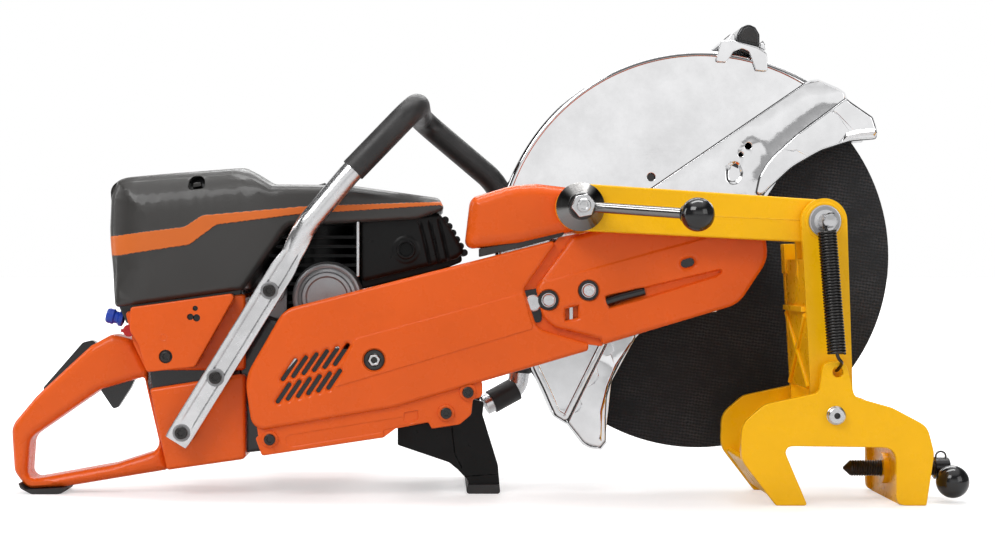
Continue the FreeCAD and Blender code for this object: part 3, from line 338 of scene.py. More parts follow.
bare_metal("black_steel", (0.055, 0.053, 0.052), 0.30, (1.0, 6.0, 1.0), 0.5, coat=0.2)
bare_metal("dark_chrome", (0.26, 0.255, 0.25), 0.15, (1.0, 6.0, 1.0), 0.3)
abrasive_stone("abrasive")
open_foam("filter_foam")


def paint(obj, slot, material=None):
    """Gives obj one material: the one named material, or else the one named slot."""
    obj.data.materials.clear()
    obj.data.materials.append(MATERIALS[material or slot])
    return obj


# ---------------------------------------------------------------- meshes

def new_piece(name, vertices, faces, slot, body, material=None, smooth=40.0):
    """A mesh object with its material and body; edges sharper than smooth degrees stay sharp."""
    mesh = bpy.data.meshes.new(name)
    mesh.from_pydata([tuple(v) for v in vertices], [], [tuple(f) for f in faces])
    mesh.validate()
    work = bmesh.new()
    work.from_mesh(mesh)
    bmesh.ops.remove_doubles(work, verts=work.verts, dist=1e-6)
    bmesh.ops.recalc_face_normals(work, faces=work.faces)
    work.to_mesh(mesh)
    work.free()
    mesh.shade_smooth()
    mesh.set_sharp_from_angle(angle=math.radians(smooth))
    obj = bpy.data.objects.new(name, mesh)
    bpy.context.scene.collection.objects.link(obj)
    paint(obj, slot, material)
    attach(obj, body)
    return obj


def band_faces(count, rows, closed=False):
    """Faces between each ring of rows points and the next; closed joins the last ring to the first."""
    faces = []
    for k in range(count if closed else count - 1):
        here, ahead = k * rows, (k + 1) % count * rows
        faces += [(here + i, here + (i + 1) % rows, ahead + (i + 1) % rows, ahead + i) for i in range(rows)]
    return faces


def end_faces(count, rows):
    """Flat faces that close a bar of count rings."""
    return [tuple(range(rows))[::-1], tuple((count - 1) * rows + k for k in range(rows))]


def weighted(obj):
    """Keeps flat faces flat beside rounded edges."""
    modifier = obj.modifiers.new("even normals", "WEIGHTED_NORMAL")
    modifier.keep_sharp = True
    modifier.weight = 90
    return obj


def soften(node, width, segments=3, angle=32.0):
    """Rounds a CAD node's edges without touching its mesh."""
    obj = NODES[node]
    flat = obj.modifiers.new("merge flats", "DECIMATE")
    flat.decimate_type = "DISSOLVE"
    flat.angle_limit = math.radians(0.6)
    bevel = obj.modifiers.new("round edges", "BEVEL")
    bevel.width = width
    bevel.segments = segments
    bevel.limit_method = "ANGLE"
    bevel.angle_limit = math.radians(angle)
    bevel.use_clamp_overlap = True
    weighted(obj)
    return obj


for node_name, cad_node in NODES.items():
    paint(cad_node, SLOT_OF[node_name])


def plane_loops(node, y):
    """The closed outlines of a CAD node's flat faces at that y, as arrays of (x, z), largest first."""
    mesh = NODES[node].data
    places = np.array([v.co for v in mesh.vertices])
    keys = [tuple(k) for k in np.round(places / 5e-6).astype(int)]
    first = {}
    index = [first.setdefault(k, i) for i, k in enumerate(keys)]
    count = {}
    for polygon in mesh.polygons:
        corners = [index[i] for i in polygon.vertices]
        if all(abs(places[i][1] - y) < 3e-5 for i in corners) and abs(polygon.normal.y) > 0.9:
            for a, b in zip(corners, corners[1:] + corners[:1]):
                count[frozenset((a, b))] = count.get(frozenset((a, b)), 0) + 1
    after = {}
    for edge, used in count.items():
        if used == 1 and len(edge) == 2:
            a, b = edge
            after.setdefault(a, []).append(b)
            after.setdefault(b, []).append(a)
    loops = []
    while after:
        start = next(iter(after))
        loop = [start]
        here = after[start].pop()
        after[here].remove(start)
        while here != start:
            loop.append(here)
            following = after[here].pop()
            after[following].remove(here)
            here = following
        after = {k: v for k, v in after.items() if v}
        loops.append(places[loop][:, [0, 2]])
    loops.sort(key=lambda p: -abs(area_of(p)))
    return loops


def span(node):
    """The least and greatest y of a CAD node."""
    low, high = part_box(node)
    return low.y, high.y


def area_of(loop):
    """The signed area inside a loop: positive when it runs anticlockwise."""
    x, z = loop[:, 0], loop[:, 1]
    return 0.5 * float(np.dot(x, np.roll(z, -1)) - np.dot(z, np.roll(x, -1)))


def simplified(loop):
    """The loop without doubled points."""
    return np.array([p for i, p in enumerate(loop) if np.linalg.norm(p - loop[i - 1]) > 2e-4])


def resampled(loop, step):
    """The closed loop with no stretch longer than step."""
    points = []
    for i, p in enumerate(loop):
        q = loop[(i + 1) % len(loop)]
        parts = max(1, int(math.ceil(np.linalg.norm(q - p) / step)))
        points += [p + (q - p) * k / parts for k in range(parts)]
    return np.array(points)


def nearest(points, loops, closed=True):
    """Distance from each point to the nearest of the loops."""
    best = np.full(len(points), 1e9)
    for loop in loops:
        a = loop if closed else loop[:-1]
        b = np.roll(loop, -1, axis=0) if closed else loop[1:]
        d = b - a
        length = np.maximum((d * d).sum(1), 1e-18)
        t = ((points[:, None, :] - a[None]) * d[None]).sum(2) / length[None]
        t = np.clip(t, 0.0, 1.0)
        foot = a[None] + t[..., None] * d[None]
        best = np.minimum(best, np.sqrt(((points[:, None, :] - foot) ** 2).sum(2)).min(1))
    return best


def inside(points, loop):
    """True for the points inside the closed loop."""
    a, b = loop, np.roll(loop, -1, axis=0)
    px, pz = points[:, 0][:, None], points[:, 1][:, None]
    crosses = (a[None, :, 1] > pz) != (b[None, :, 1] > pz)
    rise = b[:, 1] - a[:, 1]
    rise = np.where(np.abs(rise) < 1e-15, 1e-15, rise)
    at = a[None, :, 0] + (pz - a[None, :, 1]) * (b[:, 0] - a[:, 0])[None] / rise[None]
    return (crosses & (px < at)).sum(1) % 2 == 1


def offset_loop(loop, distance, outer):
    """Points moved distance into the material of a loop, which is outer or a hole's."""
    if (area_of(loop) > 0) != outer:
        loop = loop[::-1]
    before, after = np.roll(loop, 1, axis=0), np.roll(loop, -1, axis=0)
    t1, t2 = loop - before, after - loop
    t1 /= np.linalg.norm(t1, axis=1)[:, None]
    t2 /= np.linalg.norm(t2, axis=1)[:, None]
    n1 = np.stack([-t1[:, 1], t1[:, 0]], 1)
    n2 = np.stack([-t2[:, 1], t2[:, 0]], 1)
    n = n1 + n2
    length = np.maximum((n * n).sum(1), 1e-9)
    n = n * (2.0 / length)[:, None]
    n *= np.minimum(1.0, 2.5 / np.linalg.norm(n, axis=1))[:, None]
    return loop + n * distance


def along_line(line, step):
    """The open line with no stretch longer than step."""
    points = []
    for a, b in zip(line, line[1:]):
        parts = max(1, int(math.ceil(np.linalg.norm(b - a) / step)))
        points += [a + (b - a) * k / parts for k in range(parts)]
    return np.array(points + [line[-1]])


def line_normals(line):
    """The left-hand normal at each point of an open line."""
    t = np.gradient(line, axis=0)
    t /= np.linalg.norm(t, axis=1)[:, None]
    return np.stack([-t[:, 1], t[:, 0]], 1)


def outline(corners, parts=6):
    """A closed outline in metres from millimetre corners (x, z) or (x, z, radius)."""
    points = []
    count = len(corners)
    for i, corner in enumerate(corners):
        here = np.array(corner[:2], float)
        radius = corner[2] if len(corner) > 2 else 0.0
        if not radius:
            points.append(here)
            continue
        before = np.array(corners[i - 1][:2], float) - here
        after = np.array(corners[(i + 1) % count][:2], float) - here
        before /= np.linalg.norm(before)
        after /= np.linalg.norm(after)
        half = 0.5 * math.acos(max(-1.0, min(1.0, float(before @ after))))
        middle = (before + after) / np.linalg.norm(before + after)
        centre = here + middle * radius / math.sin(half)
        start = here + before * radius / math.tan(half) - centre
        end = here + after * radius / math.tan(half) - centre
        turn = math.atan2(start[0] * end[1] - start[1] * end[0], float(start @ end))
        for k in range(parts + 1):
            a = turn * k / parts
            c, s = math.cos(a), math.sin(a)
            points.append(centre + np.array([c * start[0] - s * start[1], s * start[0] + c * start[1]]))
    return np.array(points) * MM


def ring_loop(x, z, radius, count=32):
    """A closed circle, from millimetres."""
    return np.array([(x + radius * math.cos(a), z + radius * math.sin(a))
        for a in np.linspace(0.0, 2 * math.pi, count, endpoint=False)]) * MM


def smoothstep(t):
    """0 to 1 with soft ends."""
    t = np.clip(t, 0.0, 1.0)
    return t * t * (3 - 2 * t)


class Skin:
    """One moulded face seen along Y: a flat field with a rounded rim and raised or sunk features."""

    RIM_STEPS = (0.0, 0.05, 0.19, 0.40, 0.68, 1.0)

    def __init__(self, loops, edge, step=0.006, features=(), crown=0.0, crown_reach=0.03):
        self.loops = [resampled(simplified(p), step) for p in loops]
        self.edge = edge
        self.features = features
        self.crown = crown
        self.crown_reach = crown_reach
        self.step = step

    def depth(self, points):
        """How far below the highest plane each point of the face lies."""
        d = nearest(points, self.loops)
        e = max(self.edge, 1e-9)
        inner = np.clip(1.0 - d / e, 0.0, 1.0)
        depth = e * (1.0 - np.sqrt(np.clip(1.0 - inner ** 2, 0.0, 1.0)))
        depth += self.crown * (1.0 - smoothstep(d / self.crown_reach))
        for feature in self.features:
            depth += feature.depth(points)
        return depth

    def points_and_edges(self):
        points, edges = [], []

        def add_ring(ring, valid):
            start = len(points)
            points.extend(ring)
            for i in range(len(ring)):
                j = (i + 1) % len(ring)
                if valid[i] and valid[j]:
                    edges.append((start + i, start + j))

        self.rims = []
        for k, loop in enumerate(self.loops):
            if (area_of(loop) > 0) != (k == 0):
                loop = loop[::-1]
            self.rims.append((len(points), len(loop)))
            add_ring(loop, [True] * len(loop))
        extra = []
        for k, loop in enumerate(self.loops):
            for share in self.RIM_STEPS[1:]:
                ring = offset_loop(loop, self.edge * share, k == 0)
                extra.append((ring, self.edge * share * 0.98))
        for feature in self.features:
            extra += [(ring, 0.0) for ring in feature.rings(self.step)]
        for ring, least in extra:
            good = self.covers(ring) & (nearest(ring, self.loops) >= least - 1e-6)
            kept, links = {}, []
            for i in np.flatnonzero(good):
                kept[i] = len(points)
                points.append(ring[i])
            for i in kept:
                j = (i + 1) % len(ring)
                if j in kept and np.linalg.norm(ring[i] - ring[j]) < 3 * self.step:
                    links.append((kept[i], kept[j]))
            edges.extend(links)
        if self.crown:
            lo, hi = self.loops[0].min(0), self.loops[0].max(0)
            xs = np.arange(lo[0], hi[0], self.step * 1.6)
            zs = np.arange(lo[1], hi[1], self.step * 1.6)
            grid = np.array([(x, z) for x in xs for z in zs])
            good = self.covers(grid)
            grid = grid[good]
            grid = grid[nearest(grid, self.loops) > self.edge + self.step * 0.5]
            points.extend(grid)
        return np.array(points), edges

    def covers(self, points):
        held = inside(points, self.loops[0])
        for hole in self.loops[1:]:
            held &= ~inside(points, hole)
        return held

    def mesh(self):
        """(points, heights, triangles, rims); each rim is a list of point numbers round a loop."""
        points, edges = self.points_and_edges()
        made = geometry.delaunay_2d_cdt([Vector(p) for p in points], edges, [], 0, 1e-7)
        out = np.array([tuple(v) for v in made[0]])
        source = {}
        for new, olds in enumerate(made[3]):
            for old in olds:
                source[old] = new
        faces = np.array([f for f in made[2] if len(f) == 3])
        centres = out[faces].mean(1)
        a, b, c = out[faces[:, 0]], out[faces[:, 1]], out[faces[:, 2]]
        size = np.abs((b - a)[:, 0] * (c - a)[:, 1] - (b - a)[:, 1] * (c - a)[:, 0])
        faces = faces[self.covers(centres) & (size > 1e-12)]
        rims = [[source[start + i] for i in range(n)] for start, n in self.rims]
        return out, self.depth(out), faces, rims


class Shoulder:
    """The face falls away in a quarter round beside an open line, such as a cover's top edge."""

    STEPS = (0.0, 0.06, 0.15, 0.28, 0.43, 0.60, 0.80, 1.0)

    def __init__(self, line, reach, drop):
        self.line = np.array(line, float)
        self.reach = reach
        self.drop = drop

    def depth(self, points):
        inner = np.clip(1.0 - nearest(points, [self.line], closed=False) / self.reach, 0.0, 1.0)
        return self.drop * (1.0 - np.sqrt(1.0 - inner ** 2))

    def rings(self, step):
        line = along_line(self.line, step)
        n = line_normals(line)
        return [line + n * self.reach * share * side for share in self.STEPS[1:] for side in (-1, 1)]


class Slope:
    """The face falls away steadily to the left of x, down to depth at the place called end."""

    def __init__(self, x, end, depth):
        self.x, self.end, self.deep = x, end, depth

    def depth(self, points):
        return self.deep * np.clip((self.x - points[:, 0]) / (self.x - self.end), 0.0, 1.0)

    def rings(self, step):
        return [np.stack([np.full(160, self.x), np.linspace(-1.0, 1.0, 160)], 1)]


class Panel:
    """A raised (negative depth) or sunk (positive depth) area inside a closed outline."""

    def __init__(self, loop, depth, width=0.003):
        self.loop = np.array(loop, float)
        self.deep = depth
        self.width = width

    def depth(self, points):
        signed = nearest(points, [self.loop]) * np.where(inside(points, self.loop), 1.0, -1.0)
        return self.deep * smoothstep(signed / self.width + 0.5)

    def rings(self, step):
        loop = resampled(simplified(self.loop), step)
        return [offset_loop(loop, self.width * share, True) for share in (-0.5, -0.2, 0.2, 0.5)]


class Groove:
    """A groove (positive depth) or bead (negative depth) along an open line."""

    def __init__(self, line, depth, width=0.003):
        self.line = np.array(line, float)
        self.deep = depth
        self.width = width

    def depth(self, points):
        d = nearest(points, [self.line], closed=False)
        return self.deep * (1.0 - smoothstep(d / (0.5 * self.width)))

    def rings(self, step):
        line = along_line(self.line, step)
        n = line_normals(line)
        return [line + n * self.width * share for share in (-0.5, -0.25, 0.0, 0.25, 0.5)]


def moulded(name, loops, near, far, edge, slot, body="saw_body", far_edge=None, shell=None, features=(),
    crown=0.0, crown_reach=0.03, step=0.006, material=None, hides=(), zones=(), back_features=()):
    """A part moulded along Y between near and far, with a rounded rim on its near face.

    far_edge rounds the far face as well. shell leaves the far side open and gives the walls that
    thickness. near may be above far, for a face on the +Y side. zones are (loop, material) areas
    that take another material.
    """
    sign = 1.0 if far > near else -1.0
    skin = Skin(loops, edge, step, features, crown, crown_reach)
    points, depths, faces, rims = skin.mesh()
    vertices = [(p[0], near + sign * d, p[1]) for p, d in zip(points, depths)]
    faces = [tuple(f) for f in faces]
    if shell:
        base = len(vertices)
        vertices += [(points[i][0], far, points[i][1]) for i in rims[0]]
        back_rims = [range(len(rims[0]))]
    else:
        back = Skin(loops, far_edge or 0.0, step, back_features)
        back_points, back_depths, back_faces, back_rims = back.mesh()
        base = len(vertices)
        vertices += [(p[0], far - sign * d, p[1]) for p, d in zip(back_points, back_depths)]
        faces += [tuple(base + i for i in f[::-1]) for f in back_faces]
    for rim, back_rim in zip(rims, back_rims):
        for i in range(len(rim)):
            j = (i + 1) % len(rim)
            faces.append((rim[i], rim[j], base + back_rim[j], base + back_rim[i]))
    obj = new_piece(name, vertices, faces, slot, body, material)
    if shell:
        solid = obj.modifiers.new("wall", "SOLIDIFY")
        solid.thickness = shell
        solid.offset = -1.0
        solid.use_even_offset = True
        solid.thickness_clamp = 1.0
    weighted(obj)
    for loop, zone_material in zones:
        obj.data.materials.append(MATERIALS[zone_material])
        centres = np.array([(p.center.x, p.center.z) for p in obj.data.polygons])
        for index in np.flatnonzero(inside(centres, np.array(loop, float))):
            obj.data.polygons[index].material_index = len(obj.data.materials) - 1
    for node in hides:
        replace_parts(obj, node)
    return obj


def plate(name, corners, *rest, **more):
    """A moulded part with one outline of millimetre corners (x, z, radius)."""
    return moulded(name, [outline(corners)], *rest, **more)


def turned(name, x, z, profile, slot, body="saw_body", parts=64, material=None, smooth=35.0,
           angles=(0.0, 360.0)):
    """A piece turned about a line along Y. profile points are (radius, y) in millimetres."""
    whole = abs(angles[1] - angles[0]) >= 360.0
    count = parts if whole else parts + 1
    vertices, faces = [], []
    for k in range(count):
        a = math.radians(angles[0] + (angles[1] - angles[0]) * k / parts)
        for radius, y in profile:
            vertices.append(((x + radius * math.cos(a)) * MM, y * MM, (z + radius * math.sin(a)) * MM))
    rows = len(profile)
    for k in range(parts):
        for i in range(rows - 1):
            a, b = k * rows + i, ((k + 1) % count) * rows + i
            faces.append((a, a + 1, b + 1, b))
    return weighted(new_piece(name, vertices, faces, slot, body, material, smooth))


def swept(name, route, section, slot, body="saw_body", side=(0.0, 1.0, 0.0), material=None, smooth=40.0):
    """A bar along route (metres). section(share) gives its (across, out) points at each share of it."""
    route = [Vector(p) for p in route]
    lengths = [0.0]
    for a, b in zip(route, route[1:]):
        lengths.append(lengths[-1] + (b - a).length)
    total = lengths[-1]
    out = Vector(side).normalized()
    vertices = []
    for i, here in enumerate(route):
        ahead = route[min(i + 1, len(route) - 1)] - route[max(i - 1, 0)]
        ahead.normalize()
        out = (out - ahead * out.dot(ahead)).normalized()
        across = ahead.cross(out)
        points = section(lengths[i] / total)
        vertices += [here + across * u + out * v for u, v in points]
    faces = band_faces(len(route), len(points)) + end_faces(len(route), len(points))
    return weighted(new_piece(name, vertices, faces, slot, body, material, smooth))


def round_section(radius, count=24):
    """The same circle all along a bar."""
    points = [(radius * math.cos(a), radius * math.sin(a))
        for a in np.linspace(0.0, 2 * math.pi, count, endpoint=False)]
    return lambda share: points


def bent_route(corners, straight=0.012):
    """Points in metres along straight runs joined by arcs, from millimetre (x, y, z, bend radius)."""
    spots = [Vector(c[:3]) * MM for c in corners]
    points = [spots[0]]
    for i in range(1, len(spots) - 1):
        before = (spots[i - 1] - spots[i]).normalized()
        after = (spots[i + 1] - spots[i]).normalized()
        if corners[i][3] < 1.0 or before.angle(after) > math.pi - 1e-3:
            points.append(spots[i])
            continue
        half = before.angle(after) / 2
        radius = corners[i][3] * MM
        centre = spots[i] + (before + after).normalized() * radius / math.sin(half)
        start = spots[i] + before * radius / math.tan(half) - centre
        end = spots[i] + after * radius / math.tan(half) - centre
        points += [centre + start.slerp(end, k / 8) * radius for k in range(9)]
    points.append(spots[-1])
    filled = [points[0]]
    for a, b in zip(points, points[1:]):
        parts = max(1, int((b - a).length / straight))
        filled += [a.lerp(b, (k + 1) / parts) for k in range(parts)]
    return filled


def hexagon(x, z, flats, turn, ease):
    """A hexagon by its size across flats, its turn in degrees and its corner radius, in millimetres."""
    radius = flats / math.sqrt(3)
    angles = [math.radians(60 * k + turn) for k in range(6)]
    return outline([(x + radius * math.cos(a), z + radius * math.sin(a), ease) for a in angles], 3)


# ---------------------------------------------------------------- studio

def area_light(name, place, aim, size, power):
    """A rectangular light at place, pointed at aim."""
    data = bpy.data.lights.new(name, "AREA")
    data.shape = "RECTANGLE"
    data.size, data.size_y = size
    data.energy = power
    light = bpy.data.objects.new(name, data)
    bpy.context.scene.collection.objects.link(light)
    light.location = place
    light.rotation_euler = (Vector(aim) - Vector(place)).to_track_quat("-Z", "Y").to_euler()


def studio():
    """A plain pale floor under a white sky, with five soft lights and a darker view for mirrors."""
    scene = bpy.context.scene
    scene.view_settings.view_transform = "Standard"
    scene.world = bpy.data.worlds.new("studio")
    scene.world.use_nodes = True
    t = Tree(scene.world.node_tree)
    t.tree.nodes.remove(t.tree.nodes["Background"])
    split = t.node("ShaderNodeSeparateXYZ")
    t.link(t.node("ShaderNodeTexCoord").outputs["Generated"], split.inputs["Vector"])
    rise = split.outputs["Z"]
    sky = t.background(t.shades(rise, (0.0, (0.50, 0.50, 0.51)), (0.55, (1.0, 1.0, 1.0))), 0.60)
    greys = ((0.0, 0.80), (0.49, 0.92), (0.60, 0.97), (0.68, 0.60), (0.76, 0.10), (0.84, 0.08), (0.92, 0.9),
        (1.0, 1.0))
    ramp = t.shades(t.spread(rise, -1.0, 1.0), *[(place, (grey,) * 3) for place, grey in greys])
    drape = t.spread(t.maths("ABSOLUTE", split.outputs["X"]), 0.45, 0.72, 1.0, 0.10)
    mirrored = t.background(ramp, drape)
    rays = t.node("ShaderNodeLightPath").outputs
    around = t.shader_mix(rays["Is Glossy Ray"], sky, mirrored)
    seen = t.shader_mix(rays["Is Camera Ray"], around, t.background((1.0, 1.0, 1.0), 1.0))
    t.link(seen, t.tree.nodes["World Output"].inputs["Surface"])
    area_light("key", (-1.5, -1.9, 2.3), (0.0, 0.0, 0.2), (1.8, 1.2), 43.0)
    area_light("fill", (2.2, -2.2, 1.2), (0.1, 0.0, 0.2), (1.6, 1.6), 14.0)
    area_light("rim", (0.4, 2.4, 2.2), (0.0, 0.0, 0.2), (2.6, 1.0), 37.0)
    area_light("top", (0.1, 0.25, 2.4), (0.1, 0.0, 0.0), (2.0, 0.5), 24.0)
    area_light("side", (-2.3, 0.5, 0.9), (-0.2, 0.0, 0.2), (0.5, 1.4), 9.0)
    floor_mesh = bpy.data.meshes.new("floor")
    corners = [(30.0 * x, 30.0 * y, 0) for x, y in ((-1, -1), (1, -1), (1, 1), (-1, 1))]
    floor_mesh.from_pydata(corners, [], [(0, 1, 2, 3)])
    floor = bpy.data.objects.new("floor", floor_mesh)
    scene.collection.objects.link(floor)
    g = Graph("floor_paper")
    tone = g.spread(g.noise(1.5, 3.0), 0.3, 0.7)
    g.colour(g.mix(tone, (0.62, 0.62, 0.625), (0.65, 0.65, 0.65)))
    g.roughness(g.spread(g.noise(30.0, 4.0), 0.3, 0.7, 0.5, 0.6))
    reach = g.node("ShaderNodeVectorMath", operation="LENGTH")
    g.link(g.place, reach.inputs[0])
    seen_floor = g.node("ShaderNodeLightPath").outputs["Is Camera Ray"]
    glow = g.maths("MULTIPLY", g.spread(reach.outputs["Value"], 0.45, 1.4, 0.46, 1.05), seen_floor)
    g.link(glow, g.shader.inputs["Emission Strength"])
    g.set(Emission_Color=(1.0, 1.0, 1.0, 1.0))
    floor_mesh.materials.append(g.material)


def camera():
    """The camera level with the saw, seen square on from the belt side."""
    data = bpy.data.cameras.new("camera")
    data.lens = 65.67
    data.sensor_width = 36.0
    data.shift_x = 0.0618
    data.shift_y = -0.0034
    cam = bpy.data.objects.new("camera", data)
    bpy.context.scene.collection.objects.link(cam)
    cam.location = (-0.043, -1.852, 0.230)
    cam.rotation_euler = (math.radians(90.0), 0.0, 0.0)
    bpy.context.scene.camera = cam


# ---------------------------------------------------------------- rear body

def top_cover():
    """Two-tone engine cover: a rounded hump at the rear, an accent band and a latch recess."""
    loops = plane_loops("top_cover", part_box("top_cover")[0].y)
    near, far = span("top_cover")
    band = outline([(-380, 241), (-362, 240), (-289, 251), (-262, 271), (-179, 281.5), (-60, 289),
        (-30, 291), (-30, 294), (-175, 289), (-276, 280), (-294, 268.5), (-362, 260), (-380, 259)])
    hump = outline_line([(-377, 225), (-373, 300), (-366, 317), (-352, 322), (-300, 325), (-236, 330)])
    nose = outline_line([(-236, 330), (-207, 312), (-130, 311), (-40, 298)])
    latch = outline([(-291, 306, 3), (-275, 308, 3), (-276, 320, 6), (-290, 319, 6)])
    faces = (Shoulder(hump, 0.050, 0.034), Shoulder(nose, 0.015, 0.012), Panel(band, -0.0012, 0.0016))
    moulded("top_cover_skin", loops, near, far, 0.007, "dark_plastic", far_edge=0.007, features=faces
        + (Panel(latch, 0.009, 0.0016),), back_features=faces, step=0.005,
        zones=[(band, "accent_plastic"), (latch, "black_plastic")], hides=["top_cover"])
    plate("cover_latch", [(-288, 308, 1), (-278, 309.5, 1), (-279, 314, 2), (-287, 313, 2)], near + 0.012,
        near + 0.020, 0.001, "black_steel")
    plate("cover_rest", [(-362, 190, 2), (-354, 172, 2), (-240, 190, 2), (-236, 214, 2), (-300, 212, 2)],
        near + 0.012, far - 0.012, 0.002, "black_plastic")
    plate("cover_clip", [(-176, 309, 1), (-152, 308, 1), (-158, 316, 1), (-166, 313.5, 1)], 0.030, 0.052,
        0.001, "black_plastic", far_edge=0.001)


def outline_line(corners):
    """An open line in metres from millimetre (x, z) corners."""
    return np.array(corners, float) * MM


def rear_housing():
    """Orange side body: the raised, flat service panel, its adjuster holes and the tank below."""
    low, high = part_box("rear_housing")
    plate("rear_housing_body", [(-355, 184, 4), (-347, 152, 12), (-334, 125, 4), (-234, 125, 4),
        (-234, 202, 4)], low.y + 0.014, high.y, 0.003, "orange_plastic", far_edge=0.006,
        hides=["rear_housing"])
    panel = plane_loops("rear_housing", low.y)
    dots = [ring_loop(-282.5, 187.5, 2.5, 20), ring_loop(-287.5, 179.0, 3.1, 20),
        ring_loop(-281.3, 178.0, 3.5, 20)]
    seat = ring_loop(-312, 139.5, 6.6)
    mark = ring_loop(-314, 158.5, 3.4, 24)
    moulded("service_panel", panel, low.y, low.y + 0.012, 0.0016, "orange_plastic", step=0.004,
        features=[Panel(dot, 0.004, 0.0006) for dot in dots] + [Panel(seat, 0.002, 0.0008)]
        + [Groove(np.vstack([mark, mark[:1]]), -0.0004, 0.0012)],
        zones=[(dot, "black_plastic") for dot in dots] + [(seat, "black_plastic")])
    screw("panel_screw", -312, 139.5, low.y / MM - 1.2, 5.2)

    tank_near, tank_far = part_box("fuel_tank")[0].y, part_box("fuel_tank")[1].y - 0.008
    plate("tank_shell", [(-329, 107, 3), (-311.7, 25.8, 3), (-233, 37, 5), (-233, 122, 5)], tank_near,
        tank_far, 0.004, "orange_plastic", far_edge=0.010, crown=0.0012, crown_reach=0.05,
        hides=["fuel_tank"])
    turned("tank_neck", -280, 84, [(13.8, 92), (17, 92), (17.6, 95), (17, 97.6), (13.8, 97.6)],
        "orange_plastic")
    # A black plate filling the gap between the housing and the belt cover: painted shade for the shadowed
    # interior there.
    plate("frame_shade_filler", [(-242, 41, 3), (-220, 43, 3), (-211, 54, 3), (-200, 60, 3), (-200, 176, 4),
        (-242, 190, 4)], low.y + 0.020, low.y + 0.060, 0.004, "black_plastic")
    # A black plate behind the gap between the panel and the tank: painted shadow in that recess.
    plate("tank_gap_shade", [(-331, 128, 2), (-328, 104, 2), (-240, 116, 2), (-240, 134, 2)], tank_near + 0.016,
        tank_far - 0.02, 0.001, "black_plastic")


def screw(name, x, z, y, radius):
    """A cap screw seen end on, with a six-lobed socket sunk into its head."""
    turns = np.linspace(0, 2 * math.pi, 48, endpoint=False)
    reach = radius * (0.50 + 0.09 * np.cos(6 * turns))
    lobes = np.stack([x + reach * np.cos(turns), z + reach * np.sin(turns)], 1) * MM
    moulded(name, [ring_loop(x, z, radius, 40)], y * MM, (y + 4.0) * MM, 0.0011, "black_steel", step=0.002,
        features=[Panel(lobes, 0.0022, 0.0003)])


def rear_handle():
    """Two halves of the rear grip, rounded on every edge round the hand loop."""
    for node in ("rear_handle_near", "rear_handle_far"):
        low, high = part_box(node)
        outer_y, seam_y = (low.y, high.y) if node.endswith("near") else (high.y, low.y)
        loops = plane_loops(node, outer_y)
        moulded(node.replace("rear_handle", "grip_half"), loops, outer_y, seam_y, 0.0085, "orange_plastic",
            step=0.004, hides=[node], far_edge=0.0004)


def choke_button():
    """The ribbed choke button on its slanted stem."""
    rings = [(0.1, -375), (6.4, -375), (7.6, -373.5), (7.8, -368), (6.2, -366.5), (6.2, -363.5),
        (7.9, -362), (7.9, -358.5), (5.0, -357.6)]
    knob = axis_turned("choke_button", (-358, -20, 176), (-375, -20, 180.2),
        [(r, (x + 358) / -17.0) for r, x in rings], "blue_plastic", "choke")
    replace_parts(knob, "choke_knob")


def axis_turned(name, start, end, profile, slot, body="saw_body", parts=48, material=None):
    """A piece turned about any line. profile points are (radius in mm, share of the way to end)."""
    a, b = Vector(start) * MM, Vector(end) * MM
    along = (b - a).normalized()
    side = along.orthogonal().normalized()
    other = along.cross(side)
    vertices, faces = [], []
    rows = len(profile)
    for k in range(parts):
        turn = 2 * math.pi * k / parts
        out = side * math.cos(turn) + other * math.sin(turn)
        vertices += [a.lerp(b, share) + out * radius * MM for radius, share in profile]
    for k in range(parts):
        for i in range(rows - 1):
            p, q = k * rows + i, ((k + 1) % parts) * rows + i
            faces.append((p, p + 1, q + 1, q))
    return weighted(new_piece(name, vertices, faces, slot, body, material, 35.0))


# ---------------------------------------------------------------- cutting arm

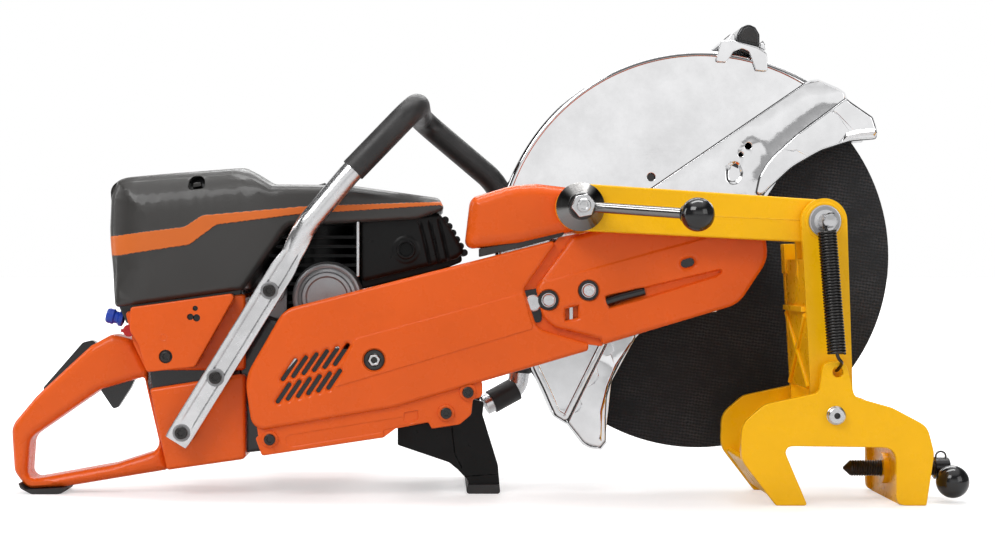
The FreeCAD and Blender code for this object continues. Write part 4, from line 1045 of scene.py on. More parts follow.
def belt_covers():
    """The two belt covers with their slots, windows, arm bolts and tension nut."""
    near, far = span("belt_cover_rear")
    wall = 0.0025
    arm_bolts = ((68, 196), (107.5, 205.5))
    tension = (-104, 137)
    rear = plane_loops("belt_cover_rear", near)
    panel = outline([(-122, 158, 3), (44, 203, 4), (48, 183, 6), (53, 168, 3), (-147, 109, 3)])
    moulded("belt_cover_rear_shell", rear, near, far, 0.0045, "orange_plastic", shell=wall,
        features=[Panel(panel, -0.0012, 0.0016), Panel(ring_loop(*tension, 11.4, 40), 0.0022, 0.0012)],
        step=0.004, hides=["belt_cover_rear"])
    front = plane_loops("belt_cover_front", near)
    wedge = outline([(124.5, 200, 1), (159, 207.5, 1), (249, 229, 2), (232, 219, 3), (160, 197, 2),
        (127, 188, 1)])
    above = outline([(61, 213, 2), (225, 258, 4), (222, 300, 4), (90, 258, 4)])
    moulded("belt_cover_front_shell", front, near, far, 0.0055, "orange_plastic", shell=wall,
        features=[Panel(above, 0.0016, 0.003), Panel(wedge, 0.0050, 0.0022)]
        + [Panel(ring_loop(x, z, 10.6, 40), 0.0030, 0.0012) for x, z in arm_bolts], step=0.004,
        hides=["belt_cover_front"])
    plate("cover_joint_floor", [(36, 205, 4), (60, 158, 4), (122, 150, 3), (126, 170, 3), (100, 262, 3),
        (78, 258, 3)], near + 0.008, near + 0.011, 0.0006, "orange_plastic")
    plate("cover_joint_shadow", [(42, 205, 4), (50, 176, 4), (62, 172, 4), (60, 208, 4)], near + 0.0065,
        near + 0.0082, 0.0005, "black_plastic")
    turned("hidden_washer", 53, 193, [(0.1, -60.5), (7.0, -60.5), (8.2, -59.5), (8.2, -57.0)], "zinc_steel")
    for x, z in arm_bolts:
        turned(f"bolt_seat_{x:.0f}", x, z, [(0.1, -61.4), (9.9, -61.4), (10.4, -60.4), (10.4, -58.0)],
            "rubber", material="black_plastic")
        turned(f"bolt_flange_{x:.0f}", x, z, [(5.0, -64.6), (7.0, -64.4), (7.4, -63.6), (7.4, -61.0)],
            "zinc_steel")
        turned(f"bolt_head_{x:.0f}", x, z, [(0.1, -69.6), (2.4, -69.6), (3.2, -69.9), (5.4, -69.4),
            (6.2, -68.2), (6.4, -65.0), (6.4, -62.0)], "zinc_steel", parts=48)
    turned("tension_ring", *tension, [(5.9, -62.6), (6.8, -63.2), (9.6, -63.2), (10.6, -62.4),
        (10.8, -60.5)], "rubber", material="black_plastic")
    nut = hexagon(*tension, 10.4, 8.0, 0.6)
    hole = ring_loop(*tension, 3.1, 24)
    moulded("tension_nut", [nut, hole], -0.0662, -0.058, 0.0006, "zinc_steel", step=0.002)
    turned("tension_socket", *tension, [(0.1, -62.0), (3.0, -62.0), (3.1, -59.0)], "black_steel")
    for name, corners, start, end, edge in (
            ("vent_screen", [(-215, 62, 4), (-135, 66, 4), (-118, 100, 4), (-100, 146, 4), (-170, 150, 4),
                             (-205, 110, 4)], 0.0055, 0.0065, 0.0003),
            ("oval_screen", [(192, 224, 1), (216, 224, 1), (216, 244, 1), (192, 244, 1)],
             0.006, 0.007, 0.0003),
            ("window_plate", [(80, 172, 1), (101, 175, 1), (101, 194, 1), (80, 191, 1)],
             0.010, 0.012, 0.0005)):
        plate(name, corners, near + start, near + end, edge, "black_plastic")
    plate("window_bar", [(88.5, 175, 1), (92.5, 176, 1), (92.5, 191, 1), (88.5, 190, 1)], near + 0.0045,
        near + 0.010, 0.0008, "zinc_steel")
    swept("slot_spring", bent_route([(118, -58.5, 192, 0), (140, -58.5, 199, 40), (163, -58.5, 205, 0)]),
        round_section(0.0042), "black_plastic")
    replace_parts(bpy.data.objects["tension_nut"], "arm_bolts")


def arm_flange():
    """The cast flange below the covers, with its pads, pocket and screws."""
    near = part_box("cutting_arm")[0].y - 0.0014
    skirt = outline([(-215.6, 42, 3), (-94.5, 60.2, 1), (-94.5, 66.6, 1), (-79.6, 70.9, 2),
        (-50.5, 75.2, 1), (-47.3, 68.8, 2), (-19.5, 73, 8), (-8.2, 82.7, 6), (-6.5, 98, 3), (3, 100, 6),
        (3, 116, 3), (-60, 107, 3), (-221, 76, 3)])
    band = outline([(-192, 62, 4), (-60, 83, 4), (-66, 74, 4), (-90, 66, 6), (-190, 50, 5)])
    pocket = outline([(-74.5, 75.5, 1), (-61, 78, 1), (-61, 87, 1), (-74.5, 84.5, 1)])
    moulded("arm_flange_face", [skirt], near, near + 0.014, 0.0013, "orange_plastic", step=0.004,
        features=[Panel(band, 0.0008, 0.002), Panel(pocket, 0.0035, 0.001)])
    for place, x, z, across in (
            ("rear", -207, 58.5, 8.2), ("front", -33, 84.5, 8.4), ("upper", -11.5, 105, 8.4)):
        moulded(f"flange_boss_{place}", [ring_loop(x, z, across)], near - 0.0026, near + 0.008, 0.0014,
            "orange_plastic", step=0.003)
        screw(f"flange_screw_{place}", x, z, near / MM - 5.6, 5.6)


def coupling_bracket():
    """The rounded housing on the arm, with the dark seal below it."""
    low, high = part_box("coupling_bracket")
    loops = plane_loops("coupling_bracket", low.y)[:1]
    moulded("arm_housing", loops, low.y, high.y, 0.013, "orange_plastic", far_edge=0.006, step=0.004,
        hides=["coupling_bracket"])
    plate("housing_seal", [(0, 238.5, 1), (39, 247.5, 6), (82, 259, 1), (84, 264, 1), (39, 253.5, 6),
        (0, 247, 1)], low.y + 0.007, high.y - 0.004, 0.001, "rubber")


# ---------------------------------------------------------------- engine bay

def engine_bay():
    """Silencer with its folded front, the fins, a shield edge and the domed housing beside them."""
    low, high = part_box("muffler")
    near = low.y + 0.009
    outlet = (-73, 246)
    side = outline([(-119, 213, 5), (-36, 233, 6), (-22, 237, 4), (-14, 244, 5), (-28, 268, 6),
        (-40, 283, 6), (-119, 277, 5)])
    folds = [Groove(outline_line([(x, z), (x - 9, z + 38)]), 0.0022, 0.005) for x,
        z in ((-49, 232), (-40, 234), (-31, 237))]
    moulded("silencer_body", [side], near, high.y, 0.005, "black_paint", far_edge=0.005, features=folds
        + [Panel(ring_loop(*outlet, 13.5), -0.0012, 0.003)], step=0.004, hides=["muffler"])
    plate("silencer_base", [(-119, 206, 2), (-36, 226, 4), (-16, 234, 4), (-20, 250, 4), (-119, 230, 2)],
        near + 0.012, high.y - 0.01, 0.002, "black_paint")
    for k in range(6):
        rise = 6.6 * k
        x, z = -14.5 - 0.58 * rise, 243 + rise
        route = [Vector((x, -28, z)) * MM, Vector((x, 70, z)) * MM]
        swept(f"silencer_rib_{k}", route, round_section(0.0036, 16), "black_paint", side=(1.0, 0.0, 0.0))
    turned("silencer_outlet", *outlet, [(7.0, -22), (7.0, -39.8), (7.6, -41.0), (8.4, -41.0), (8.8, -40.2),
        (8.8, -34), (10.5, -32.6), (13, -32.0)], "black_paint")
    plate("shield_edge", [(-122.5, 219, 1), (-119.5, 219, 1), (-119.5, 274, 1), (-122.5, 274, 1)], -0.040,
        0.070, 0.0008, "zinc_steel")
    dome_place = (-152, 198)
    dome = [(0.1, -36), (14, -37), (20, -37.4), (21.5, -39.5), (24.5, -39.5), (26, -37), (31, -35),
        (34.5, -30), (36, -22), (36, 0)]
    turned("decompression_dome", *dome_place, dome, "cast_metal", smooth=30.0)
    turned("dome_rim", *dome_place, [(29.5, -36.8), (31.5, -38.2), (33.6, -37.0), (34.6, -33.5)],
        "zinc_steel", material="cast_metal")
    plate("bay_shadow_wall", [(-240, 196, 2), (-236, 270, 2), (-40, 292, 2), (-40, 238, 2), (-119, 208, 2)],
        0.088, 0.092, 0.001, "black_plastic")


# ---------------------------------------------------------------- front handle

def strap_section(half_width, half_depth, groove):
    """A flat strap's section with rounded corners and a square channel in its near face."""
    points = []
    for a in np.linspace(0.0, 2 * math.pi, 96, endpoint=False):
        c, s = math.cos(a), math.sin(a)
        reach = ((abs(c) / half_width) ** 8 + (abs(s) / half_depth) ** 8) ** -0.125
        sunk = groove * float(smoothstep((0.0066 - abs(c * reach)) / 0.0012)) if s < 0 else 0.0
        points.append((c * reach, s * reach + sunk))
    return points


def front_handle():
    """One bent tube, pressed flat where it is bolted to the body."""
    route = bent_route([(-299.4, -62, 56, 0), (-185, -62, 241, 30), (-171, -62, 270, 60),
        (-129, -60, 320, 90), (-62, -52, 390, 26), (-60, 118, 389, 26), (22, 122, 320, 60),
        (58, 122, 230, 90), (46, 120, 98, 20), (10, 112, 79, 0)], straight=0.006)
    total = sum((b - a).length for a, b in zip(route, route[1:]))
    flat_end, round_start = 0.205, 0.252
    tube = round_section(0.011, 96)(0.0)

    def section(share):
        run = share * total
        t = float(smoothstep((run - flat_end) / (round_start - flat_end)))
        pinch = 1.0 - 0.16 * math.exp(-((run - flat_end - 0.012) / 0.010) ** 2)
        channel = 0.0019 * float(smoothstep((run - 0.018) / 0.006)) * (1.0 - t)
        flat = strap_section(0.0125, 0.004, channel)
        ease = float(smoothstep(run / 0.003))
        grown = 0.93 + 0.07 * ease
        return [((p[0] * (1 - t) + q[0] * t) * pinch * grown, (p[1] * (1 - t) + q[1] * t) * grown) for p,
            q in zip(flat, tube)]

    obj = swept("handle_tube", route, section, "aluminium")
    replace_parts(obj, "front_handle")
    foot = bent_route([(17, 113.5, 82.5, 0), (43.5, 119.5, 96.5, 0)])
    swept("handle_foot_sleeve", foot, round_section(0.0128, 32), "rubber")
    for k, (x, z) in enumerate(((-293.5, 65.5), (-260, 119.8), (-207, 205.5))):
        turned(f"strap_washer_{k}", x, z, [(5.0, -66.3), (8.2, -66.6), (8.8, -66.1), (8.8, -65.0)],
            "aluminium", material="cast_metal")
        screw(f"strap_screw_{k}", x, z, -70.5, 6.2)
    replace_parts(bpy.data.objects["strap_screw_0"], "body_screws")


# ---------------------------------------------------------------- blade guard

def sheet(name, loops, near, far, edge, far_edge=0.0004, **more):
    """A pressed sheet of the guard."""
    moulded(name, loops, near, far, edge, "guard_metal", "guard_group", far_edge=far_edge, **more)


def guard():
    """Polished guard: a rimmed main sheet, two lapped wings above and below, and the tilt handle."""
    disc_low, disc_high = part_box("abrasive_disc")
    cx, cz = (disc_low.x + disc_high.x) / 2 / MM, (disc_low.z + disc_high.z) / 2 / MM
    near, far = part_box("guard_shell_near")[0].y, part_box("guard_shell_far")[1].y
    wall = 0.0024

    def around(points):
        return [(cx + p[0], cz + p[1], *p[2:]) for p in points]

    rim_radius, roll = 212.0, 5.0
    inner_edge = around([(133, 117), (84, 85), (60, 48), (58, -14), (16, -58), (-44, -60), (-68, -86),
        (-92, -130), (-98, -186)])
    reach = rim_radius - roll
    sheet_edge = [(cx + reach * math.cos(a), cz + reach * math.sin(a))
        for a in np.radians(np.linspace(39.0, 236.0, 73))] + inner_edge[::-1]
    hub = ring_loop(cx, cz, 32.0, 48)
    sight_x, sight_z = cx - 51, cz + 81.4
    hole = ring_loop(sight_x, sight_z, 4.1, 24)
    main = np.array(sheet_edge) * MM
    sheet("guard_sheet_near", [main, hub, hole], near, near + wall, 0.0008, far_edge=0.0008, step=0.008,
        crown=0.0010, crown_reach=0.05, hides=["guard_shell_near", "guard_shell_far", "guard_panels"])
    sheet("guard_sheet_far", [main], far, far - wall, 0.0008, far_edge=0.0008, step=0.008)
    curl = [(rim_radius - roll + roll * math.sin(t), near / MM + roll - roll * math.cos(t))
        for t in np.linspace(0, math.pi / 2, 7)]
    curl += [(rim_radius - roll + roll * math.cos(t), far / MM - roll + roll * math.sin(t))
        for t in np.linspace(0, math.pi / 2, 7)]
    inside_curl = [(radius - 2.2, near / MM + 2.4 + (y - near / MM) * (far - near - 0.0048) / (far - near))
        for radius, y in curl[::-1]]
    turned("guard_rim", cx, cz, curl + inside_curl + curl[:1], "guard_metal", "guard_group", parts=120,
        angles=(39.0, 236.0))

    lap = near - 0.0025
    wing = outline(around([(-62, 62, 3), (107, 177.5, 4), (121, 181, 6), (141.6, 172.2, 8), (148, 168, 5),
        (148.8, 160.8, 4), (135.4, 150.5, 30), (112.7, 136, 60), (97.3, 122.6, 60), (81.8, 109.2, 40),
        (72.5, 98.9, 30), (65.8, 89.6, 30), (60.1, 78.3, 20), (58.1, 48, 10), (20, 38, 10)]))
    dimple = outline(around([(27, 77, 5), (36, 74, 6), (43, 84, 8), (38, 98, 5), (27, 93, 7)]))
    pins = [ring_loop(cx + 49, cz + 113.3, 3.4, 24), ring_loop(cx + 41.3, cz + 104.5, 2.3, 20)]
    sheet("guard_wing_upper", [wing] + pins, lap, lap + wall, 0.0012, step=0.005, crown=0.0016,
        crown_reach=0.016, features=[Panel(dimple, 0.0020, 0.0040)])
    # A painted shadow line round the upper wing.
    seal("guard_shadow_line_upper", wing, near - 0.0003)
    plate("guard_pin_backs", around([(34, 98, 2), (56, 98, 2), (56, 120, 2), (34, 120, 2)]), near - 0.0003,
        near + 0.0002, 0.0001, "black_plastic", "guard_group")
    turned("guard_sheet_hole_back", sight_x, sight_z, [(0.1, 24.2), (6.0, 24.2), (6.0, 25.0)],
        "black_plastic", "guard_group")
    lip = outline(around([(150, 163, 4), (152.7, 159, 5), (165, 150.5, 10), (176.4, 142.7, 5),
        (179.5, 133, 4), (181.0, 126, 2), (180, 121, 2), (152.7, 118.5, 30), (123, 109, 60), (93, 91.7, 60),
        (65.8, 66, 30), (58.6, 50, 6), (56, 62, 6), (60.1, 81, 20), (67, 93, 30), (75, 103, 40),
        (99, 125, 60), (136, 152.5, 30)]))
    bead = around([(150, 123), (163, 127), (176, 128), (181, 127.5)])
    seams = [around(pair) for pair in (((137, 148), (140, 146.5)), ((94, 108), (98, 109)))]
    sheet("guard_lip_upper", [lip], lap - 0.0006, lap + wall, 0.0016, step=0.005,
        features=[Groove(outline_line(bead), -0.0035, 0.0070)]
        + [Groove(outline_line(seam), 0.0008, 0.0016) for seam in seams])
    sheet("guard_lip_far", [lip], far + 0.0025, far, 0.0012)
    sheet("guard_wing_far", [wing], far + 0.0022, far, 0.0010)

    # A painted shadow line round the upper lip.
    seal("guard_lip_shadow_line_upper", lip, lap + 0.0012, 0.0007)
    wing = outline(around([(-176, -98, 3), (-172, -116, 4), (-162, -136, 6), (-150, -163.5, 8),
        (-139, -170.5, 4), (-136.5, -167, 2), (-98.7, -91, 3), (-84, -60, 3), (-120, -62, 3)]))
    sheet("guard_wing_lower", [wing], lap, lap + wall, 0.0012, step=0.005,
        features=[Panel(offset_loop(resampled(wing, 0.004), 0.0055, True), 0.0013, 0.0014)])
    sheet("guard_wing_lower_far", [wing], far + 0.0022, far, 0.0010)
    fold = around([(-72, -90), (-88, -113), (-97, -135), (-103, -160), (-104, -188)])
    # A painted shadow line round the lower wing.
    seal("guard_shadow_line_lower", wing, near - 0.0003)
    lip = outline(around([(-137, -171, 2), (-120.4, -192, 8), (-113, -195.5, 5), (-103.8, -197, 3),
        (-98.4, -190, 3), (-98.7, -165, 20), (-97.5, -145, 40), (-92, -126, 40), (-83.2, -108.4, 60),
        (-66, -80, 4), (-90, -74, 4), (-98, -91, 4)]))
    seams = [around(pair) for pair in (((-93, -102), (-90, -96)), ((-110, -131), (-106, -124)),
        ((-127, -160), (-123, -153)))]
    sheet("guard_lip_lower", [lip], lap - 0.0006, lap + wall, 0.0016, step=0.005,
        features=[Groove(outline_line(seam), 0.0010, 0.0018) for seam in seams]
        + [Groove(outline_line(fold), -0.0012, 0.0030)])
    # A painted shadow line round the lower lip.
    seal("guard_lip_shadow_line_lower", lip, lap + 0.0014, 0.0007)
    sheet("guard_lip_lower_far", [lip], far + 0.0025, far, 0.0012)
    bands = {"upper": [(107, 178.5), (113, 181.2), (121, 182), (141.6, 173.2), (148.5, 168.5), (151, 161.5),
        (165, 151.5), (177.5, 143), (180.5, 134), (182, 126.5)],
        "lower": [(-176, -98), (-173, -116.5), (-163, -136.8), (-151, -164.2), (-139, -171.5), (-137, -172),
        (-121, -193), (-113.5, -196.8), (-103.5, -198.2), (-98.0, -191)]}
    for place, points in bands.items():
        ribbon(f"guard_band_{place}", around(points), lap + 0.0015, far + 0.001, 0.0018, "guard_metal",
            "guard_group")
    guard_handle(near, far)


def seal(name, loop, y, spread=0.0009):
    """A thin black strip just outside a lapped sheet of the guard: a painted shadow line along its edge."""
    loop = offset_loop(resampled(loop, 0.003), -spread, True)
    moulded(name, [loop], y, y + 0.0012, 0.0002, "black_plastic", "guard_group", step=0.02)


def ribbon(name, line, near, far, thickness, slot, body):
    """A strip of sheet along a side-view line (millimetres), as wide as near to far."""
    line = along_line(outline_line(line), 0.006)
    n = line_normals(line)
    vertices = []
    for p, side in zip(line, n):
        for shift, y in ((0.0, near), (0.0, far), (thickness, far), (thickness, near)):
            x, z = p - side * shift
            vertices.append((x, y, z))
    faces = band_faces(len(line), 4) + end_faces(len(line), 4)
    return weighted(new_piece(name, vertices, faces, slot, body, smooth=30.0))


def guard_handle(near, far):
    """Bent chrome bridge on two pairs of legs, with a dark grip bar across the guard."""
    legs = outline([(250.4, 461.3, 1), (244.9, 440.2, 2), (256, 439.3, 2), (263.5, 450.6, 4),
        (272, 453.6, 4), (279.4, 450.6, 4), (286.3, 431, 2), (298.7, 430, 2), (297.6, 448.5, 2),
        (287.7, 454.5, 3), (262, 462, 2)])
    deck = outline([(250.5, 461.5, 1), (262, 462.6, 2), (288, 455.8, 2), (297.6, 449.5, 1), (297, 446.5, 1),
        (287, 452.0, 2), (262, 459.2, 2), (250.8, 458.2, 1)])
    sheet("guard_legs_near", [legs], near - 0.0036, near - 0.0010, 0.0009, hides=["guard_handle"])
    sheet("guard_legs_far", [legs], far + 0.0020, far, 0.0009)
    moulded("guard_bridge", [deck], near - 0.001, far + 0.001, 0.0005, "guard_metal", "guard_group")
    plate("guard_grip_pad", [(260, 459.5, 1), (288, 452, 1), (283, 446.5, 3), (272, 451.5, 3),
        (262, 453.5, 3)], near + 0.001, far - 0.001, 0.002, "rubber", "guard_group")
    arch = [(267.5, 460, 1.5), (291, 455.5, 1.5), (291, 468.5, 5), (286.5, 476.3, 5), (279.4, 479.6, 6),
        (272, 476.3, 5), (267.5, 468.5, 5)]
    plate("guard_grip", arch, near - 0.0005, far + 0.0005, 0.0024, "rubber", "guard_group", far_edge=0.0024,
        step=0.003, material="black_plastic")
    face = offset_loop(outline(arch), 0.0030, True)
    moulded("guard_grip_face", [face], near - 0.0016, near + 0.003, 0.0008, "rubber", "guard_group",
        step=0.003)
    for place, cheek in (("rear", [(257, 461.5, 1), (266, 461.5, 1), (266.5, 474, 3), (262, 470, 3)]),
                         ("front", [(292, 454.5, 1), (298, 452, 1), (295, 463, 3), (292, 468, 3)])):
        plate(f"guard_cheek_{place}", cheek, near + 0.004, far - 0.004, 0.001, "guard_metal", "guard_group")


# ---------------------------------------------------------------- rail clamp

def clamp_arms():
    """The upper arm, and the fittings, web ribs and spring of the lower arm."""
    near, far = span("upper_arm")
    loops = plane_loops("upper_arm", near)
    crease = outline_line([(215, 278.6), (314, 274.2)])
    moulded("upper_arm_casting", loops, near, far, 0.0022, "yellow_paint", "upper_arm_group",
        far_edge=0.0022, step=0.005, features=[Slope(0.200, 0.080, 0.0035),
        Groove(crease, -0.0009, 0.0022)], hides=["upper_arm"])
    low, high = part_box("lower_arm")
    web_near, web_far = low.y + 0.007, high.y - 0.007
    slope = 10.0 / 186.5

    def web_spot(y, z):
        return Vector((0.310 + (0.273 - z) * slope - 0.0008, y, z))

    top, bottom = 0.182, 0.112
    for j, (a, b) in enumerate(((web_near, web_far), (web_far, web_near))):
        middle = web_spot((a + b) / 2, (top + bottom) / 2)
        swept(f"web_rib_{j}", [web_spot(a, top), middle, web_spot(b, bottom)], round_section(0.0022, 12),
            "yellow_paint", "lower_arm_group")
    elbow = (332, 273)
    pad = ring_loop(*elbow, 18.5, 48)
    moulded("elbow_pad", [pad], low.y - 0.0012, low.y + 0.002, 0.0014, "yellow_paint", "lower_arm_group",
        step=0.004)
    elbow_washer = [(8.0, -104.5), (13.5, -104.5), (15.4, -103.6), (15.6, -100.5)]
    turned("elbow_washer", *elbow, elbow_washer, "zinc_steel", "lower_arm_group", material="cast_metal")
    turned("elbow_pin_end", *elbow, [(0.1, -128.2), (5.6, -128.4), (6.9, -127.2), (7.0, -104)],
        "zinc_steel", "lower_arm_group")
    plate("web_head", [(309, 252, 1), (330, 252, 1), (330, 222, 1), (310.5, 222, 1)], web_far - 0.012,
        web_far + 0.005, 0.0008, "yellow_paint", "lower_arm_group")
    return_spring()


def coil(name, start, end, radius, wire, turns, slot, body):
    """A close-wound coil of wire between two points."""
    along = (end - start).normalized()
    out = Vector((1.0, 0.0, 0.0))
    out = (out - along * out.dot(along)).normalized()
    other = along.cross(out)
    points = []
    steps = 20
    for k in range(turns * steps + 1):
        t = 2 * math.pi * k / steps
        middle = start + (end - start) * k / (turns * steps)
        points.append(middle + out * radius * math.cos(t) + other * radius * math.sin(t))
    return swept(name, points, round_section(wire, 10), slot, body, side=(0.0, 0.3, 1.0), smooth=60.0)


def return_spring():
    """Extension spring between the elbow pin and the clamp's tab."""
    low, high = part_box("return_spring")
    y = (low.y + high.y) / 2
    top = Vector((0.3293, y, high.z))
    bottom = Vector((0.3385, y, low.z + 0.002))
    windings = coil("spring_coil", top, bottom, 0.0078, 0.00135, 42, "black_steel", "lower_arm_group")
    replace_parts(windings, "return_spring")
    unride(windings)
    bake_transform(windings)
    hook = [(338.5, -124, 146.5), (340.5, -124, 141.5), (343.5, -122, 138), (344.5, -116, 135),
        (343, -110, 130.5), (342.5, -104, 129)]
    swept("spring_hook_low", smooth_route(hook), round_section(0.00165, 12), "black_steel", "clamp_group")
    upper = [(329.5, -124, 262), (327, -124, 268), (326.5, -126, 273), (330, -126.5, 278.5),
        (335.5, -126, 279)]
    swept("spring_hook_high", smooth_route(upper), round_section(0.00165, 12), "black_steel",
        "lower_arm_group")


def smooth_route(corners):
    """A smooth curve through millimetre points, as points in metres."""
    spots = [Vector(c) * MM for c in corners]
    padded = [spots[0] * 2 - spots[1]] + spots + [spots[-1] * 2 - spots[-2]]
    points = []
    for i in range(1, len(padded) - 2):
        p0, p1, p2, p3 = padded[i - 1:i + 3]
        for t in (k / 6 for k in range(6)):
            points.append(0.5 * (2 * p1 + (p2 - p0) * t + (2 * p0 - 5 * p1 + 4 * p2 - p3) * t * t
                + (3 * p1 - p0 - 3 * p2 + p3) * t * t * t))
    return points + [spots[-1]]


def unride(obj):
    """Takes a piece off its body again."""
    obj.parent = None
    del obj["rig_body"]


STUD = (97, 287)


def lock_parts():
    """Nut, cone and ball-ended lever on the clamp stud."""
    x, z = STUD
    cone = [(8.1, -90), (22.6, -90), (23.6, -91), (23.6, -93.5), (13.4, -103.6), (12.6, -104), (8.1, -104)]
    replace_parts(turned("lock_cone_turned", x, z, cone, "black_steel", "upper_arm_group", parts=96,
        smooth=25.0, material="dark_chrome"), "lock_cone")
    hub = [(8.1, -104.5), (12.4, -104.5), (13.1, -105.4), (13.1, -118), (12.2, -119), (8.1, -119)]
    start, ball = Vector((x, -108, z)), Vector((200, -167, 277.4))
    turned("lever_hub", x, z, hub, "black_plastic", "lever_group")
    aim = (ball - start).normalized()
    rod = [tuple(start + aim * 9), tuple((start + ball) / 2), tuple(ball - aim * 13)]
    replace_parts(swept("lever_rod", [Vector(p) * MM for p in rod], round_section(0.005, 32), "black_steel",
        "lever_group", side=(0, 0, 1), material="dark_chrome"), "lock_lever")
    ball_knob("lever_ball", ball, aim, "lever_group")
    nut = hexagon(x, z, 20.5, 12.0, 0.5)
    moulded("stud_nut", [nut], -0.1325, -0.1205, 0.0012, "zinc_steel", step=0.002,
        features=[Shoulder(np.vstack([ring_loop(x, z, 10.4, 36), ring_loop(x, z, 10.4, 36)[:1]]), 0.0004,
        0.0002)], hides=["clamp_stud"])
    turned("stud_end", x, z, [(0.1, -136.5), (3.4, -136.6), (4.0, -138.0), (5.9, -138.0), (6.6, -137.2),
        (6.6, -130)], "zinc_steel")
    turned("stud_washer", x, z, [(6.6, -120.8), (11.6, -120.8), (12.2, -120.2), (12.2, -119.2),
        (6.6, -119.2)], "black_steel")
    turned("stud_shank", x, z, [(7.95, -119.2), (7.95, -60)], "zinc_steel")


def ball_knob(name, centre, aim, body):
    """A moulded ball with a flat and a collar where its rod screws in."""
    radius = 15.9
    profile = [(0.1, -radius)]
    profile += [(radius * math.sin(t), -radius * math.cos(t)) for t in np.linspace(0.15, 2.55, 22)]
    profile += [(7.4, radius * 0.86), (7.2, radius * 0.96), (5.6, radius * 0.99), (5.0, radius * 0.90)]
    start, end = centre + aim * radius, centre - aim * radius
    shares = [(r, 0.5 + along / (2 * radius)) for r, along in profile]
    return axis_turned(name, start, end, shares, "black_plastic", body, parts=56)


def eased(loop, reach):
    """The closed loop with its corners eased over about reach."""
    points = resampled(loop, reach / 3)
    for _ in range(4):
        points = 0.5 * points + 0.25 * (np.roll(points, 1, axis=0) + np.roll(points, -1, axis=0))
    return points


def rail_clamp():
    """Two flame-cut plates with eased corners, the jaw faces between them and the pivot bolt."""
    for place in ("near", "far"):
        low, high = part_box(f"clamp_plate_{place}")
        loops = plane_loops(f"clamp_plate_{place}", low.y)
        moulded(f"jaw_plate_{place}", [eased(loops[0], 0.013)] + loops[1:], low.y, high.y, 0.0012,
            "yellow_paint", "clamp_group", far_edge=0.0012, step=0.006, hides=[f"clamp_plate_{place}"])
    low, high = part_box("clamp_plate_near")[0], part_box("clamp_plate_far")[1]
    plate("jaw_brace", [(253, 42, 2), (259, 44, 2), (284, 10, 2), (279, 7, 2)], low.y + 0.0079, high.y
        - 0.0079, 0.0008, "yellow_paint", "clamp_group")
    x, z = 340, 86.5
    near = low.y / MM
    turned("pivot_head", x, z, [(3.0, near - 3.2), (3.0, near - 6.2), (7.0, near - 6.2), (8.2, near - 5.2),
        (8.3, near - 1.0), (9.0, near - 0.4), (9.0, near)], "zinc_steel", "clamp_group")
    turned("pivot_socket", x, z, [(0.1, near - 3.0), (3.1, near - 3.0), (3.1, near - 1.0)], "black_steel",
        "clamp_group")
    turned("pivot_pin", x, z, [(5.9, near), (5.9, high.y / MM), (9, high.y / MM), (9, high.y / MM + 3),
        (0.1, high.y / MM + 3.4)], "zinc_steel", "clamp_group")
    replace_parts(bpy.data.objects["pivot_head"], "clamp_pivot_bolt")


def clamp_screw():
    """Threaded screw with a hardened point, its hub and the ball-ended crank."""
    y, z = -52.0, 29.5
    tip, thread_start, thread_end = 360.5, 368.5, 451.0
    point = axis_turned("screw_point", (tip, y, z), (thread_start, y, z),
        [(0.1, 0.0), (1.2, 0.02), (7.4, 0.86), (7.4, 0.98), (3.9, 1.0)], "zinc_steel", "pad_group",
        material="black_steel")
    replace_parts(point, "screw_pad")
    pitch, outer, depth = 2.5, 8.0, 1.1
    rows, parts = int((thread_end - thread_start) / pitch * 8), 36
    vertices = []
    for i in range(rows + 1):
        x = thread_start + (thread_end - thread_start) * i / rows
        for k in range(parts):
            a = 2 * math.pi * k / parts
            wave = (x / pitch + k / parts) % 1.0
            radius = outer - depth * abs(2 * wave - 1) ** 1.3
            vertices.append((x * MM, (y + radius * math.cos(a)) * MM, (z + radius * math.sin(a)) * MM))
    faces = band_faces(rows + 1, parts) + end_faces(rows + 1, parts)
    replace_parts(new_piece("screw_thread", vertices, faces, "black_steel", "screw_group", smooth=60.0),
        "clamp_screw")
    hub = [(0.1, 0.0), (9.6, 0.0), (11, 0.05), (11, 0.93), (9.8, 1.0), (0.1, 1.0)]
    axis_turned("screw_hub", (450, y, z), (465, y, z), hub, "black_plastic", "screw_group")
    start, ball = Vector((457, y, z)), Vector((459, -88, 20))
    aim = (ball - start).normalized()
    rod = [start, (start + ball) / 2, ball - aim * 13]
    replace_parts(swept("crank_rod", [p * MM for p in rod], round_section(0.005, 28), "black_plastic",
        "screw_group", side=(1, 0, 0), material="black_steel"), "screw_lever")
    ball_knob("crank_ball", ball, aim, "screw_group")
    ring = [(457 + 5.0 * math.cos(t), y - 2, z + 11.5 + 5.0 * math.sin(t))
        for t in np.linspace(-0.3, 3.6, 12)]
    swept("crank_clip", [Vector(p) * MM for p in ring], round_section(0.0009, 10), "black_steel",
        "screw_group")


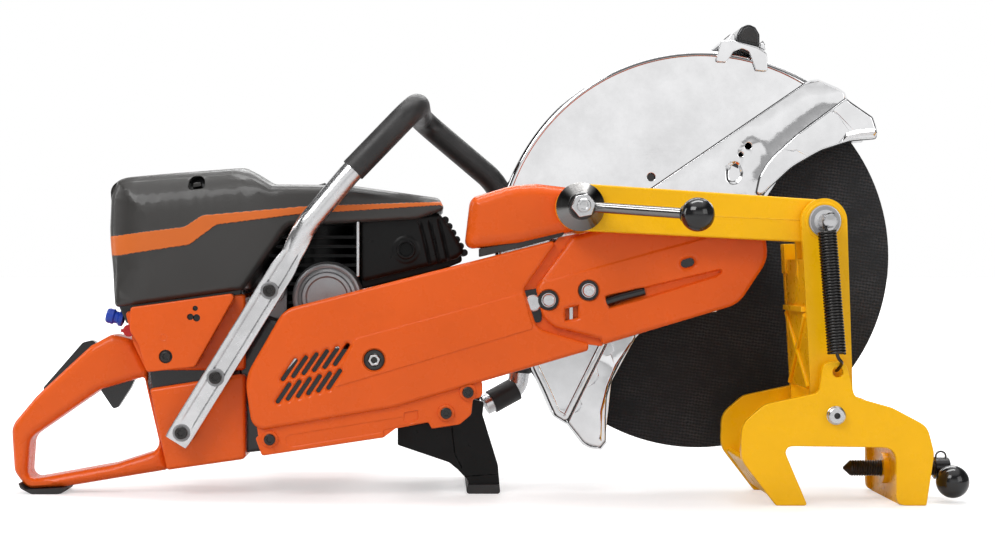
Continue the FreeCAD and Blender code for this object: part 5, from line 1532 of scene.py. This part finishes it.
def front_stand():
    """Two cranked plates joined behind, each on its rubber foot."""
    low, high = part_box("front_stand")
    side = outline([(-81.8, 66.3, 1), (-81.8, 48.8, 2), (-29.9, 31.2, 4), (-21, 24, 3), (-10.2, 12.5, 3),
        (-10.2, 6.5, 1), (21.4, 6.5, 1), (19.6, 28.6, 3), (4.1, 79.4, 4), (5.5, 92, 2), (-8, 96, 2),
        (-40, 74, 3)])
    crease = outline_line([(-27, 66), (-24, 40), (-17, 26)])
    band = outline_line([(-14, 17), (20.5, 19)])
    for place, near, far in (("near", low.y, low.y + 0.008), ("far", high.y, high.y - 0.008)):
        moulded(f"stand_plate_{place}", [side], near, far, 0.0012, "black_paint", far_edge=0.0008,
            step=0.004, features=[Slope(-0.026, 0.0050, 0.0020), Groove(crease, 0.0008, 0.0014),
            Groove(band, 0.0008, 0.0012)], hides=["front_stand"])
    plate("stand_web", [(-78, 62, 1), (-78, 54, 1), (-30, 38, 2), (-30, 62, 1)], low.y + 0.008, high.y
        - 0.008, 0.001, "black_paint")


def cad_parts():
    """Parts that keep their CAD shape: their sharp edges are rounded by a width in metres."""
    for width, segments, nodes in (
            (0.0035, 4, "starter_cover"), (0.003, 3, "throttle_lockout"), (0.0025, 3, "throttle_trigger"),
            (0.002, 3, "fuel_cap"), (0.0015, 3, "starter_handle rubber_feet"),
            (0.0013, 3, "lower_arm clamp_cross_plates"), (0.001, 3, "handle_dampers"),
            (0.0008, 3, "stop_switch elbow_pin"), (0.0006, 2, "cylinder"),
            (0.0004, 2, "abrasive_disc air_filter bearings carburettor clutch_drum clutch_shoes crankcase "
                        "crankshaft cutting_arm disc_flanges drive_belt driven_pulley flywheel_fan piston "
                        "spark_plug spindle spindle_bolt starter_drum")):
        for node in nodes.split():
            soften(node, width, segments)
    soften("handle_sleeve", 0.0008, 2, 50.0)


def main():
    studio()
    camera()
    top_cover()
    rear_housing()
    rear_handle()
    choke_button()
    belt_covers()
    arm_flange()
    coupling_bracket()
    engine_bay()
    front_handle()
    guard()
    clamp_arms()
    lock_parts()
    rail_clamp()
    clamp_screw()
    front_stand()
    cad_parts()


main()
